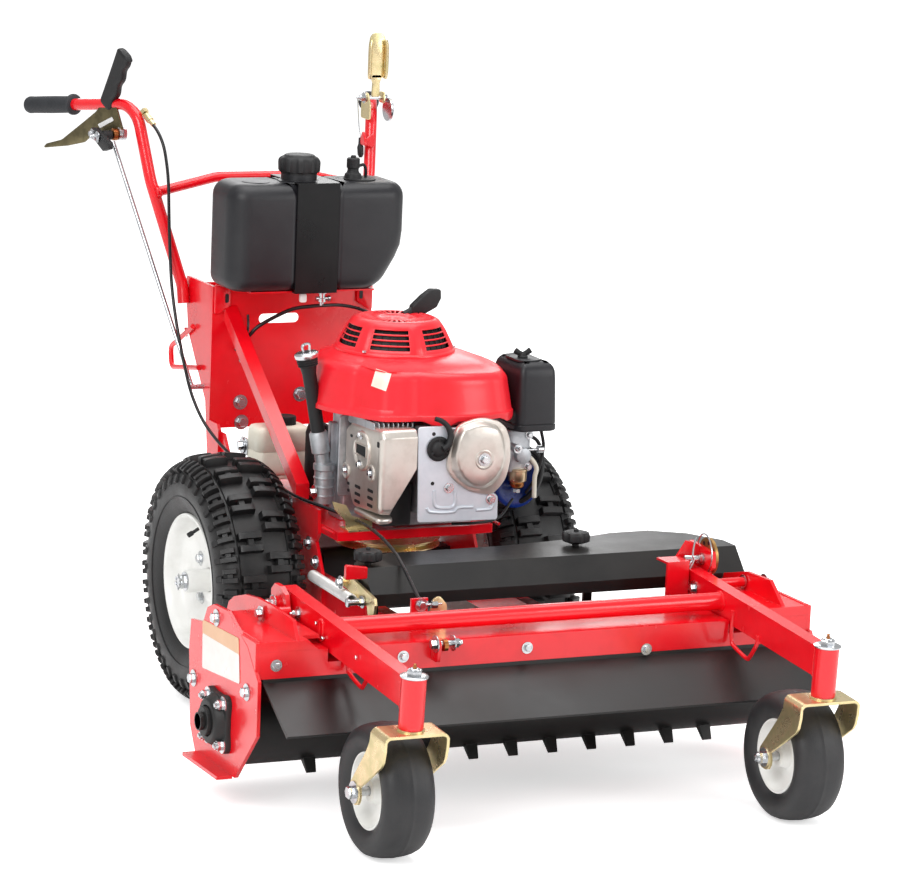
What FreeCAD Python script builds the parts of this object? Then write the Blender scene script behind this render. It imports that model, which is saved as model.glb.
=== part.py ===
import FreeCAD, Part
import Sketcher
import math
import operator
import os

# Walk-behind power rake: a red tractor frame with two drive wheels and a
# vertical-shaft engine, and a toothed drum under a hood in front of it. Two
# arms hinged on the hood carry the caster wheels that set the working depth.
# +X is the operator's left, -Y is the way it drives, +Z is up. Millimetres.
# Heights are over the ground; the drive axle is at y = 0 until frame_y moves
# the whole machine so that its box is centred on the origin.

V = FreeCAD.Vector
doc = FreeCAD.newDocument("power_rake")
NODES = {}
SPOTS = {}

# ---------------------------------------------------------------- the sheet

SIZES = [
    ("frame_y", 102.8, "shift that centres the machine's box on the origin"),
    ("plate", 6, "thickness of the frame plates"),
    ("sheet", 3, "thickness of bent sheet parts"),
    ("gap", 0.3, "seat gap between bodies that move"),
    ("running", 0.05, "radial clearance of a shaft in its bore"),
    # drive wheels
    ("drive_r", 224, "radius of a drive tyre"),
    ("drive_w", 160, "width of a drive tyre"),
    ("tyre_gap", 33, "space between a side plate and its drive tyre"),
    ("drive_rim_r", 116, "radius of a drive rim's flange"),
    ("drive_bead_r", 100, "radius where a drive tyre sits on its rim"),
    ("axle_r", 12.7, "radius of the drive axle"),
    ("axle_in", 125, "inner end of a drive axle"),
    ("hub_r", 20.5, "radius of a drive wheel's hub"),
    ("dish", 18, "outer face of the wheel disc from the wheel's middle"),
    # caster wheels
    ("cast_r", 107, "radius of a caster tyre"),
    ("cast_w", 86, "width of a caster tyre"),
    ("cast_rim_r", 60, "radius of a caster rim's flange"),
    ("cast_bead_r", 51, "radius where a caster tyre sits on its rim"),
    ("cast_axle_r", 6, "radius of a caster's axle bolt"),
    ("fork_in", 50, "half of the space inside a caster fork"),
    ("fork_wall", 5, "thickness of a caster fork"),
    ("trail", 75, "distance of a caster axle behind its swivel"),
    ("drop", 126, "distance of a caster axle below its barrel"),
    # the caster frame: two arms, a cross tube and two swivel barrels
    ("arm_x", 364, "half of the distance between the arms"),
    ("arm_w", 25.4, "width of an arm tube"),
    ("arm_tall", 50.8, "height of an arm tube"),
    ("arm_wall", 4, "wall of an arm tube"),
    ("arm_reach", 492.5, "from the depth pivot to the swivel axis"),
    ("arm_tail", 16, "arm behind the depth pivot"),
    ("barrel_r", 20, "radius of a swivel barrel"),
    ("barrel_low", -54.3, "barrel's lower end against the arm's centre line"),
    ("barrel_high", 27.7, "barrel's upper end against the arm's centre line"),
    ("stem_r", 10, "radius of a fork's stem"),
    ("cross_r", 15, "radius of the cross tube"),
    ("cross_y", -153, "cross tube ahead of the depth pivot"),
    ("pivot_y", -552, "depth pivot"),
    ("pivot_z", 314, "height of the depth pivot"),
    ("pin_r", 8, "radius of a pivot pin"),
    ("arm_slope", 3.7, "slope of the arms at rest, degrees"),
    # rake head
    ("head_x", 505, "half of the width over the end plates"),
    ("drum_y", -605, "drum axis"),
    ("drum_z", 140, "height of the drum axis"),
    ("drum_r", 76, "radius of the drum tube"),
    ("tooth", 25, "how far a tooth stands out of the drum"),
    ("tooth_step", 73, "distance between teeth along the drum"),
    ("shaft_r", 15, "radius of the drum shaft"),
    ("beam_y", -745, "front face of the beam"),
    ("beam_low", 240, "lower edge of the beam"),
    ("beam_high", 284, "upper edge of the beam"),
    ("hood_z", 268, "top of the hood"),
    ("hood_y", -470, "rear wall of the hood"),
    ("cover_low", 290, "lower edge of the belt cover"),
    ("cover_high", 348, "top of the belt cover"),
    ("cover_front", -485, "front edge of the belt cover's top"),
    # tractor frame
    ("frame_x", 154, "half of the width over the frame's side plates"),
    ("deck_front", -237, "front edge of the engine deck"),
    ("deck_low", -16, "lower edge of the deck's lip"),
    ("deck_up", 128, "top of the engine deck above the drive axle"),
    ("tower_y", 357, "front panel of the tower"),
    ("tower_low", 72, "lower edge of the tower"),
    ("tower_high", 338, "top of the tower"),
    ("housing_x", 105, "half of the width of the transaxle"),
    ("housing_r", 28, "radius of the transaxle's axle tubes"),
    ("rail_in", 122, "inner face of a rail to the rake head"),
    ("rail_low", -19, "lower edge of those rails"),
    ("rail_high", 31, "upper edge of those rails"),
    # handlebar, points on the centre line of its tube
    ("foot_y", 484, "foot of the handlebar, back"),
    ("foot_z", 320, "foot of the handlebar, up"),
    ("knee_x", 222, "lower bend, to the side"),
    ("knee_y", 532, "lower bend, back"),
    ("knee_z", 512, "lower bend, up"),
    ("elbow_x", 240, "upper bend, to the side"),
    ("elbow_y", 573, "upper bend, back"),
    ("elbow_z", 651, "upper bend, up"),
    ("hand_x", 351, "end of the grip, to the side"),
    ("hand_y", 852, "end of the grip, back"),
    ("hand_z", 618, "end of the grip, up"),
    ("tube_r", 11.1, "radius of the handlebar tube"),
    ("grip_r", 16.5, "radius of a hand grip"),
    ("grip_long", 134, "length of a hand grip"),
    ("tank_w", 336, "fuel tank across"),
    ("tank_y", 250, "front of the fuel tank"),
    ("tank_deep", 132, "fuel tank front to back"),
    ("tank_tall", 198, "height of the fuel tank"),
    # engine, about its upright crankshaft
    ("crank_x", 8, "crankshaft to the side of the centre line"),
    ("crank_y", -95, "crankshaft"),
    ("fan_r", 105, "radius of the fan cover's foot"),
    ("fan_top_r", 74, "radius of the fan cover's top"),
    ("fan_low", 296, "foot of the fan cover"),
    ("fan_high", 351, "top of the fan cover"),
    ("shroud_low", 193, "lower edge of the engine's shroud"),
    ("pulley_r", 93, "radius of the drive pulley"),
    ("pulley_low", -54, "lower face of the drive pulley"),
]


class Size:
    """A number together with the sheet formula that gives it."""

    def __init__(self, value, text):
        self.value = value
        self.text = text

    def __float__(self):
        return float(self.value)

    def __add__(self, other):
        return combine(self, other, "+")

    def __radd__(self, other):
        return combine(other, self, "+")

    def __sub__(self, other):
        return combine(self, other, "-")

    def __rsub__(self, other):
        return combine(other, self, "-")

    def __mul__(self, other):
        return combine(self, other, "*")

    def __rmul__(self, other):
        return combine(other, self, "*")

    def __truediv__(self, other):
        return combine(self, other, "/")

    def __neg__(self):
        return combine(0, self, "-")


OPERATIONS = {"+": operator.add, "-": operator.sub, "*": operator.mul, "/": operator.truediv}


def as_size(number):
    if isinstance(number, Size):
        return number
    return Size(float(number), "(%.6f)" % number)


def combine(left, right, sign):
    left = as_size(left)
    right = as_size(right)
    value = OPERATIONS[sign](left.value, right.value)
    return Size(value, "(%s %s %s)" % (left.text, sign, right.text))


def make_sheet():
    """Fill the spreadsheet and return one Size for each of its words."""
    sheet = doc.addObject("Spreadsheet::Sheet", "dims")
    words = {}
    for row, (word, value, meaning) in enumerate(SIZES, 1):
        sheet.set("A%d" % row, word)
        sheet.set("B%d" % row, str(value))
        sheet.set("C%d" % row, meaning)
        sheet.setAlias("B%d" % row, word)
        words[word] = Size(float(value), "dims." + word)
    doc.recompute()
    return words


class Words:
    """The sheet's sizes as attributes, such as D.plate."""

    def __init__(self, words):
        self.__dict__.update(words)


D = Words(make_sheet())

# The tractor hangs together by its axle and its deck: these heights are
# written in the sheet as heights over one of the two. The tower, the
# handlebar's foot and the wheels stand beside the frame's side plates.
D.deck_z = D.drive_r + D.deck_up
for word in ("deck_low", "tower_low", "tower_high", "foot_z", "knee_z", "elbow_z", "hand_z",
             "shroud_low", "fan_low", "fan_high", "pulley_low"):
    setattr(D, word, D.deck_z + getattr(D, word))
D.tower_x = D.frame_x + D.plate
D.foot_x = D.tower_x + D.tube_r + D.gap
D.drive_x = D.frame_x + D.tyre_gap + D.drive_w / 2
D.rail_low = D.drive_r + D.rail_low
D.rail_high = D.drive_r + D.rail_high


def up(height):
    """A height over the engine deck."""
    return D.deck_z + height


# ---------------------------------------------------------------- helpers


def bind(thing, prop, size):
    """Set a property and tie it to the sheet."""
    size = as_size(size)
    if "." not in prop:
        setattr(thing, prop, size.value)
    thing.setExpression(prop, size.text)


def move(thing, x=0, y=0, z=0, turn=None):
    """Place an object at a point tied to the sheet, after an optional turn."""
    spot = [as_size(x), as_size(y), as_size(z)]
    turn = turn or FreeCAD.Rotation()
    thing.Placement = FreeCAD.Placement(V(*[float(one) for one in spot]), turn)
    for letter, size in zip("xyz", spot):
        thing.setExpression("Placement.Base." + letter, size.text)
    SPOTS[thing.Name] = (spot, turn)
    return thing


def node(label, thing):
    """Name a finished sub-part and give it the machine's frame shift."""
    spot, turn = SPOTS.get(thing.Name, ([as_size(0)] * 3, thing.Placement.Rotation))
    move(thing, spot[0], spot[1] + D.frame_y, spot[2], turn)
    thing.Label = label
    NODES[label] = thing
    return thing


def box(x, y, z, name="block"):
    """A block between two values on each axis."""
    thing = doc.addObject("Part::Box", name)
    for prop, (low, high) in zip(("Length", "Width", "Height"), (x, y, z)):
        bind(thing, prop, as_size(high) - low)
    return move(thing, x[0], y[0], z[0])


ALONG = {
    "x": FreeCAD.Rotation(V(0, 1, 0), 90),
    "y": FreeCAD.Rotation(V(1, 0, 0), -90),
    "z": FreeCAD.Rotation(),
}


def on_axis(axis, start, centre):
    """The point at start along an axis, with the other two coordinates given."""
    places = {"x": (start, centre[0], centre[1]),
              "y": (centre[0], start, centre[1]),
              "z": (centre[0], centre[1], start)}
    return places[axis]


def rod(axis, radius, span, centre, name="rod"):
    """A cylinder along an axis."""
    thing = doc.addObject("Part::Cylinder", name)
    bind(thing, "Radius", radius)
    bind(thing, "Height", as_size(span[1]) - span[0])
    return move(thing, *on_axis(axis, span[0], centre), ALONG[axis])


def cone(axis, radii, span, centre, name="cone"):
    """A cone between two radii along an axis."""
    thing = doc.addObject("Part::Cone", name)
    bind(thing, "Radius1", radii[0])
    bind(thing, "Radius2", radii[1])
    bind(thing, "Height", as_size(span[1]) - span[0])
    return move(thing, *on_axis(axis, span[0], centre), ALONG[axis])


def fuse(*things, name="joined"):
    joined = doc.addObject("Part::MultiFuse", name)
    joined.Shapes = list(things)
    joined.Refine = True
    return joined


def cut(base, *tools, name="trimmed"):
    for tool in tools:
        result = doc.addObject("Part::Cut", name)
        result.Base = base
        result.Tool = tool
        base = result
    return base


def round_edges(thing, radius, wanted, name="rounded"):
    """Fillet the edges of a shape whose middle and direction pass a test."""
    doc.recompute()
    result = doc.addObject("Part::Fillet", name)
    result.Base = thing
    edges = []
    for number, edge in enumerate(thing.Shape.Edges, 1):
        middle = edge.CenterOfMass
        heading = edge.tangentAt(edge.FirstParameter)
        if len(edge.Vertexes) == 2 and wanted(middle, heading):
            edges.append((number, float(radius), float(radius)))
    result.Edges = edges
    return result


def upright(middle, heading):
    return abs(heading.z) > 0.99


PLANES = {"YZ": ("YZ_Plane", (0, 1, 2)), "XZ": ("XZ_Plane", (1, 0, 2)), "XY": ("XY_Plane", (2, 0, 1))}


def draw(body, plane, outline, holes=(), name="outline"):
    """A closed sketch of straight lines and round holes, tied to the sheet."""
    sketch = body.newObject("Sketcher::SketchObject", name)
    role = PLANES[plane][0]
    flat = [one for one in body.Origin.OriginFeatures if one.Role == role][0]
    sketch.AttachmentSupport = [(flat, "")]
    sketch.MapMode = "FlatFace"
    points = [(as_size(u), as_size(v)) for u, v in outline]
    count = len(points)
    for i in range(count):
        start = V(float(points[i][0]), float(points[i][1]), 0)
        end = V(float(points[(i + 1) % count][0]), float(points[(i + 1) % count][1]), 0)
        sketch.addGeometry(Part.LineSegment(start, end), False)
    for i in range(count):
        sketch.addConstraint(Sketcher.Constraint("Coincident", i, 2, (i + 1) % count, 1))
    for i, point in enumerate(points):
        pin_point(sketch, i, 1, point)
    for i, (u, v, radius) in enumerate(holes, count):
        circle = Part.Circle(V(float(u), float(v), 0), V(0, 0, 1), float(radius))
        sketch.addGeometry(circle, False)
        pin_point(sketch, i, 3, (as_size(u), as_size(v)))
        number = sketch.addConstraint(Sketcher.Constraint("Radius", i, float(radius)))
        sketch.setExpression("Constraints[%d]" % number, as_size(radius).text)
    return sketch


def pin_point(sketch, line, end, point):
    """Fix a point of a sketch by its two distances from the sketch's origin."""
    for kind, size in zip(("DistanceX", "DistanceY"), point):
        number = sketch.addConstraint(Sketcher.Constraint(kind, -1, 1, line, end, float(size)))
        sketch.setExpression("Constraints[%d]" % number, size.text)


def plate(plane, outline, span, holes=(), name="Plate"):
    """A flat plate: a sketch padded both ways about the middle of its span."""
    body = doc.addObject("PartDesign::Body", name)
    sketch = draw(body, plane, outline, holes)
    pad = body.newObject("PartDesign::Pad", "Pad")
    pad.Profile = sketch
    pad.SideType = "Symmetric"
    bind(pad, "Length", as_size(span[1]) - span[0])
    middle = (as_size(span[0]) + span[1]) / 2
    place = [0, 0, 0]
    place[PLANES[plane][1][0]] = middle
    return move(body, *place)


def turned(outline, centre, axis="x", name="Turned"):
    """A body of revolution about an axis: the outline is (along, radius)."""
    body = doc.addObject("PartDesign::Body", name)
    if axis == "x":
        sketch = draw(body, "XY", outline)
    else:
        sketch = draw(body, "XZ", [(radius, along) for along, radius in outline])
    spin = body.newObject("PartDesign::Revolution", "Spin")
    spin.Profile = sketch
    spin.ReferenceAxis = (sketch, ["H_Axis" if axis == "x" else "V_Axis"])
    spin.Angle = 360
    return move(body, *centre)


def bent_path(points, radii):
    """Straight runs joined by arcs that are tangent to both of their runs."""
    points = [V(*[float(c) for c in point]) for point in points]
    edges = []
    start = points[0]
    for before, corner, after, radius in zip(points, points[1:], points[2:], radii):
        back = (before - corner).normalize()
        ahead = (after - corner).normalize()
        half = back.getAngle(ahead) / 2
        reach = radius / math.tan(half)
        first = corner + back * reach
        last = corner + ahead * reach
        centre = corner + (back + ahead).normalize() * (radius / math.sin(half))
        middle = centre + (corner - centre).normalize() * radius
        edges.append(Part.LineSegment(start, first).toShape())
        edges.append(Part.Arc(first, middle, last).toShape())
        start = last
    edges.append(Part.LineSegment(start, points[-1]).toShape())
    return Part.Wire(edges)


def tube(points, radii, radius, name="Tube"):
    """A round bar swept along a bent path."""
    spine = doc.addObject("Part::Feature", name + "_path")
    spine.Shape = bent_path(points, radii)
    ring = doc.addObject("Part::Circle", name + "_ring")
    bind(ring, "Radius", radius)
    first = V(*[float(c) for c in points[0]])
    heading = V(*[float(c) for c in points[1]]) - first
    ring.Placement = FreeCAD.Placement(first, FreeCAD.Rotation(V(0, 0, 1), heading))
    swept = doc.addObject("Part::Sweep", name)
    swept.Sections = [ring]
    swept.Spine = (spine, ["Edge%d" % n for n in range(1, len(spine.Shape.Edges) + 1)])
    swept.Solid = True
    swept.Frenet = False
    return swept


def soft_radii(points):
    """The widest bends that a cable's runs leave room for."""
    points = [V(*[float(c) for c in point]) for point in points]
    radii = []
    for before, corner, after in zip(points, points[1:], points[2:]):
        run_in = corner - before
        run_out = after - corner
        turn = run_in.getAngle(run_out)
        radii.append(0.45 * min(run_in.Length, run_out.Length) / math.tan(turn / 2))
    return radii


def side_pair(function):
    """Build a sub-part on both sides: -1 is the operator's right."""
    for side, word in ((-1, "right"), (1, "left")):
        function(side, word)


def across(side, near, far):
    """A span on one side of the centre line, low value first."""
    ends = (side * as_size(near), side * as_size(far))
    return ends if side > 0 else ends[::-1]

# ---------------------------------------------------------------- drive wheels


def drive_wheel(side, word):
    centre = (side * D.drive_x, 0, D.drive_r)
    half = D.drive_w / 2
    crown = D.drive_r
    tyre = [(-(half - 10), D.drive_bead_r + D.gap), (half - 10, D.drive_bead_r + D.gap),
            (half - 10, D.drive_rim_r + 2), (half - 2, crown * 0.68), (half, crown * 0.8),
            (half - 4, crown - 18), (half - 18, crown - 5), (half - 50, crown),
            (50 - half, crown), (18 - half, crown - 5), (4 - half, crown - 18),
            (-half, crown * 0.8), (2 - half, crown * 0.68), (10 - half, D.drive_rim_r + 2)]
    node("drive_tyre_" + word, turned(tyre, centre))
    lip = half - 2
    seat = half - 10 + D.gap
    inner = D.drive_x - D.axle_in
    dish = D.dish
    rim = [(-inner, 0), (-inner, D.axle_r), (-40, D.axle_r), (-40, D.hub_r), (dish - 6, D.hub_r),
           (dish - 6, D.drive_bead_r - 6), (-lip, D.drive_bead_r - 6), (-lip, D.drive_rim_r),
           (-seat, D.drive_rim_r), (-seat, D.drive_bead_r), (seat, D.drive_bead_r),
           (seat, D.drive_rim_r), (lip, D.drive_rim_r), (lip, D.drive_bead_r - 6),
           (dish, D.drive_bead_r - 6), (dish, D.hub_r), (half - 10, D.hub_r),
           (half - 10, D.axle_r), (half + 5, D.axle_r), (half + 5, 0)]
    node("drive_rim_" + word, turned([(side * along, radius) for along, radius in rim], centre))


side_pair(drive_wheel)

# ---------------------------------------------------------------- caster frame
# Everything on the arms is built level about the depth pivot and then tipped
# forward by arm_slope, so the swivel barrels stay square to their arms.

TIP = FreeCAD.Rotation(V(1, 0, 0), float(D.arm_slope))


def tipped(thing):
    return move(thing, 0, D.pivot_y, D.pivot_z, TIP)


def caster_arm(side, word):
    half = D.arm_w / 2
    x = side * D.arm_x
    wide = (x - half, x + half)
    core = (x - half + D.arm_wall, x + half - D.arm_wall)
    tall = D.arm_tall / 2
    front = -D.arm_reach
    outer = box(wide, (front, D.arm_tail), (-tall, tall), "arm")
    barrel = rod("z", D.barrel_r, (D.barrel_low, D.barrel_high), (x, front), "barrel")
    hollow = box(core, (front, D.arm_tail + 1), (D.arm_wall - tall, tall - D.arm_wall), "inside")
    bore = rod("z", D.stem_r + D.running, (D.barrel_low - 1, D.barrel_high + 1), (x, front), "bore")
    core_rod = rod("z", D.barrel_r - 1, (D.barrel_low, D.barrel_high), (x, front), "barrel_core")
    pin = rod("x", D.pin_r + D.running, (wide[0] - 1, wide[1] + 1), (0, 0), "pin_bore")
    body = fuse(cut(outer, hollow, pin), barrel, core_rod)
    node("caster_arm_" + word, tipped(cut(body, bore)))


side_pair(caster_arm)

reach = D.arm_x - D.arm_w / 2
cross = rod("x", D.cross_r, (-reach, reach), (D.cross_y, 4.2), "cross")
hollow = rod("x", D.cross_r - 3, (-reach, reach), (D.cross_y, 4.2), "hollow")
node("cross_tube", tipped(cut(cross, hollow)))


def caster_fork(side, word):
    x = side * D.arm_x
    y = -D.arm_reach
    top = D.barrel_low - D.gap - 3
    outer = D.fork_in + D.fork_wall
    crown = box((x - outer, x + outer), (y - 28, y + 28), (top - D.fork_wall, top), "crown")
    washer = rod("z", D.barrel_r + 2, (top, top + 3), (x, y), "washer")
    stem = rod("z", D.stem_r, (top + 3, D.barrel_high + 14), (x, y), "stem")
    cap = rod("z", D.stem_r + 7, (D.barrel_high + D.gap, D.barrel_high + 3), (x, y), "cap_washer")
    nut = rod("z", D.stem_r + 3.5, (D.barrel_high + 3, D.barrel_high + 12), (x, y), "nut")
    pieces = [crown, washer, stem, cap, nut]
    axle_z = D.barrel_low - D.drop
    axle_y = y + D.trail
    for sign in (-1, 1):
        near = x + sign * D.fork_in
        far = x + sign * outer
        span = (near, far) if sign > 0 else (far, near)
        leg = [(y - 28, top), (y + 28, top), (y + 30, top - 20), (axle_y + 15, axle_z + 14),
               (axle_y + 19, axle_z - 4), (axle_y + 8, axle_z - 18), (axle_y - 8, axle_z - 18),
               (axle_y - 22, axle_z - 2), (y - 22, top - 44), (y - 28, top - 30)]
        pieces.append(plate("YZ", leg, span, name="Leg"))
    bolt = rod("x", D.cast_axle_r, (x - outer - 9, x + outer + 9), (axle_y, axle_z), "axle")
    heads = [rod("x", 10, (x + a, x + b), (axle_y, axle_z), "head")
             for a, b in ((-outer - 8, -outer), (outer, outer + 8))]
    node("caster_fork_" + word, tipped(fuse(*pieces, bolt, *heads)))


side_pair(caster_fork)


def caster_axle(side):
    """A caster's axle in the machine's frame: the tipped place of its bolt."""
    along = -float(D.arm_reach) + float(D.trail)
    up = float(D.barrel_low) - float(D.drop)
    place = TIP.multVec(V(0, along, up))
    return (side * D.arm_x, D.pivot_y + place.y, D.pivot_z + place.z)


def caster_wheel(side, word):
    centre = caster_axle(side)
    half = D.cast_w / 2
    crown = D.cast_r
    tyre = [(4 - half, D.cast_bead_r + D.gap), (half - 4, D.cast_bead_r + D.gap),
            (half - 4, D.cast_rim_r + 2), (half, crown * 0.72), (half - 1, crown * 0.84),
            (half - 8, crown - 8), (half - 20, crown - 2), (0, crown),
            (20 - half, crown - 2), (8 - half, crown - 8), (1 - half, crown * 0.84),
            (-half, crown * 0.72), (4 - half, D.cast_rim_r + 2)]
    node("caster_tyre_" + word, turned(tyre, centre))
    hub = D.fork_in - D.gap
    bore = D.cast_axle_r + D.running
    seat = half - 4 + D.gap
    lip = half - 0.5
    rim = [(-hub, bore), (-hub, 14), (-14, 14), (-14, D.cast_bead_r - 4), (-lip, D.cast_bead_r - 4),
           (-lip, D.cast_rim_r), (-seat, D.cast_rim_r), (-seat, D.cast_bead_r),
           (seat, D.cast_bead_r), (seat, D.cast_rim_r), (lip, D.cast_rim_r),
           (lip, D.cast_bead_r - 4), (14, D.cast_bead_r - 4), (14, 14), (hub, 14), (hub, bore)]
    node("caster_rim_" + word, turned(rim, centre))


side_pair(caster_wheel)

# ---------------------------------------------------------------- rake head

inside = D.head_x - D.plate
notch = D.arm_w / 2 + 3


def head_beam():
    """An angle: front face and top, notched and floored where the arms pass."""
    face = box((-inside, inside), (D.beam_y, D.beam_y + D.plate), (D.beam_low, D.beam_high), "face")
    top = box((-inside, inside), (D.beam_y, D.beam_y + 85), (D.beam_high - 4, D.beam_high), "top")
    gaps = [box((side * D.arm_x - notch, side * D.arm_x + notch), (D.beam_y - 1, D.beam_y + 86),
                (D.beam_high - 22, D.beam_high + 1), "notch") for side in (-1, 1)]
    floors = [box((side * D.arm_x - notch, side * D.arm_x + notch), (D.beam_y, D.beam_y + 85),
                  (D.beam_high - 26, D.beam_high - 22), "floor") for side in (-1, 1)]
    return fuse(cut(fuse(face, top), *gaps), *floors)


node("head_beam", head_beam())


def head_hood():
    """Bent sheet from the beam's top over the drum and down behind it."""
    y = D.beam_y + 85
    wall = 4
    outline = [(y, D.beam_high), (y + 20, D.hood_z), (D.hood_y - 20, D.hood_z),
               (D.hood_y, D.hood_z - 20), (D.hood_y, 110), (D.hood_y - wall, 110),
               (D.hood_y - wall, D.hood_z - 21.5), (D.hood_y - 21.5, D.hood_z - wall),
               (y + 18, D.hood_z - wall), (y, D.beam_high - wall)]
    sheet = plate("YZ", outline, (-inside, inside), name="Hood")
    gaps = [box((side * D.arm_x - notch, side * D.arm_x + notch), (y - 1, y + 30),
                (D.hood_z, D.beam_high + 1), "notch") for side in (-1, 1)]
    return cut(sheet, *gaps)


node("head_hood", head_hood())

node("deflector", plate("YZ", [
    (D.beam_y, D.beam_low), (D.beam_y + D.plate, D.beam_low), (D.beam_y + D.plate, D.beam_low - 6),
    (D.beam_y - 106, 170), (D.beam_y - 109, 174), (D.beam_y, D.beam_low - 6),
    ], (-(inside - 8), inside - 8), name="Deflector"))


def end_plate(side, word):
    """The drum's side plate, with its skid foot; the right one stands taller."""
    low = [(-760, 151), (-673, 60), (-500, 50), (-470, 97), (-456, 222)]
    if side < 0:
        high = [(-462, 275), (-516, 282), (-533, 311), (-560, 322), (-621, 325), (-710, 287),
                (-759, 240)]
    else:
        high = [(-462, 262), (-668, 262), (-752, 258), (-762, 240)]
    rise = D.drum_z - 140
    shift = D.drum_y + 605
    outline = [(shift + y, rise + z) for y, z in low + high]
    span = across(side, inside, D.head_x)
    bearing = (shift - 605, rise + 140, D.shaft_r + 8)
    wall = plate("YZ", outline, span, holes=[bearing], name="EndPlate")
    foot = box(across(side, D.head_x - 1, D.head_x + 26), (shift - 660, shift - 505),
               (rise + 55, rise + 61), "foot")
    node("end_plate_" + word, fuse(wall, foot))


side_pair(end_plate)


def bearing(side, word):
    """A four-bolt flange bearing on the outside of an end plate."""
    near = D.head_x
    centre = (D.drum_y, D.drum_z)
    flange = box(across(side, near, near + 10), (D.drum_y - 42, D.drum_y + 42),
                 (D.drum_z - 42, D.drum_z + 42), "flange")
    flange = round_edges(flange, 14, lambda middle, heading: abs(heading.x) > 0.99)
    boss = rod("x", 34, across(side, near + 9, near + 26), centre, "boss")
    bore = rod("x", D.shaft_r + D.running, across(side, near - 1, near + 60), centre, "bore")
    node("bearing_" + word, cut(fuse(flange, boss), bore))


side_pair(bearing)


def rake_drum():
    """A tube with rows of teeth, staggered by half a step from row to row."""
    end = inside - 10
    outer = D.head_x + 40
    pieces = [rod("x", D.drum_r, (-end, end), (D.drum_y, D.drum_z), "drum"),
              rod("x", D.shaft_r, (-outer, outer), (D.drum_y, D.drum_z), "shaft")]
    rows = 6
    count = int((2 * float(end) - 60) / float(D.tooth_step))
    for row in range(rows):
        angle = math.radians(360 / rows * row + 270)
        turn = FreeCAD.Rotation(V(1, 0, 0), math.degrees(angle) - 90)
        for i in range(count - row % 2):
            x = (i - (count - 1 - row % 2) / 2) * D.tooth_step
            tooth = doc.addObject("Part::Wedge", "tooth")
            for prop, size in (("Xmin", -11), ("Xmax", 11), ("X2min", -8), ("X2max", 8),
                               ("Ymin", D.drum_r - 3), ("Ymax", D.drum_r + D.tooth),
                               ("Zmin", -6), ("Zmax", 6), ("Z2min", -6), ("Z2max", -2)):
                bind(tooth, prop, size)
            pieces.append(move(tooth, x, D.drum_y, D.drum_z, turn))
    return fuse(*pieces, name="rake_drum")


node("rake_drum", rake_drum())


def pivot_mount(side, word):
    """Lug and gusset of an arm, on a raised top plate beside the hood's end."""
    inner = D.arm_x + D.arm_w / 2 + 6
    floor = D.beam_high
    back = D.cover_front - 41
    top = [(-745, 16), (back, 16), (back, 10), (-745, 10)]
    ramp = plate("YZ", [(y, floor + z) for y, z in top], across(side, inner + 31, inside), name="Ramp")
    strip = plate("YZ", [(y, floor + z) for y, z in top[1:3] + [(-715, 10), (-715, 16)]],
                  across(side, inner, inner + 32), name="Strip")
    riser = plate("XZ", [(side * x, floor + z) for x, z in
                  ((inside, 0), (inside, 16), (D.arm_x + 50, 16), (D.arm_x + 32, 0))], (-745, -739),
                  name="Riser")
    lug = [(-600, 15), (-585, 52), (-565, 62), (-540, 62), (back, 50), (back, 15)]
    if side > 0:
        lug = [(-600, 15), (-599, 49), (-613, 58), (-609, 85), (back, 89), (back, 15)]
    lug_span = across(side, inner, inner + 8)
    ear = plate("YZ", [(y, floor + z) for y, z in lug], lug_span, name="Ear")
    web = [(-744, 10), (-744, 18), (-729, 46), (-639, 50), (-574, 48), (-525, 42), (-476, 28),
           (-453, 14), (-446, 0), (-464, 0), (back, 10)]
    reach = D.arm_x + 66
    if side > 0:
        web = [(-738, 10), (-738, 16), (-692, 51), (-609, 48), (-574, 39), (-530, 28), (back, 16),
               (back, 10)]
        reach = D.arm_x + 88
    web_span = across(side, reach, reach + 6)
    gusset = plate("YZ", [(y, floor + z) for y, z in web], web_span, name="Gusset")
    pin_start = D.arm_x - D.arm_w / 2 - 8
    pin = rod("x", D.pin_r, across(side, pin_start, inner + 18), (D.pivot_y, D.pivot_z), "pin")
    ends = ((pin_start - 1, pin_start + 8 - D.gap), (inner + 8, inner + 16))
    heads = [rod("x", D.pin_r + 5, across(side, *pair), (D.pivot_y, D.pivot_z), "head")
             for pair in ends]
    stay = rod("x", 8, across(side, inner + 7, reach + 4), (-604, floor + 29), "stay")
    rear = box(across(side, inner, inside), (back - 6, back), (D.hood_z, floor + 12), "rear")
    node("pivot_mount_" + word, fuse(ramp, strip, riser, ear, gusset, pin, *heads, stay, rear))


side_pair(pivot_mount)


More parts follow.
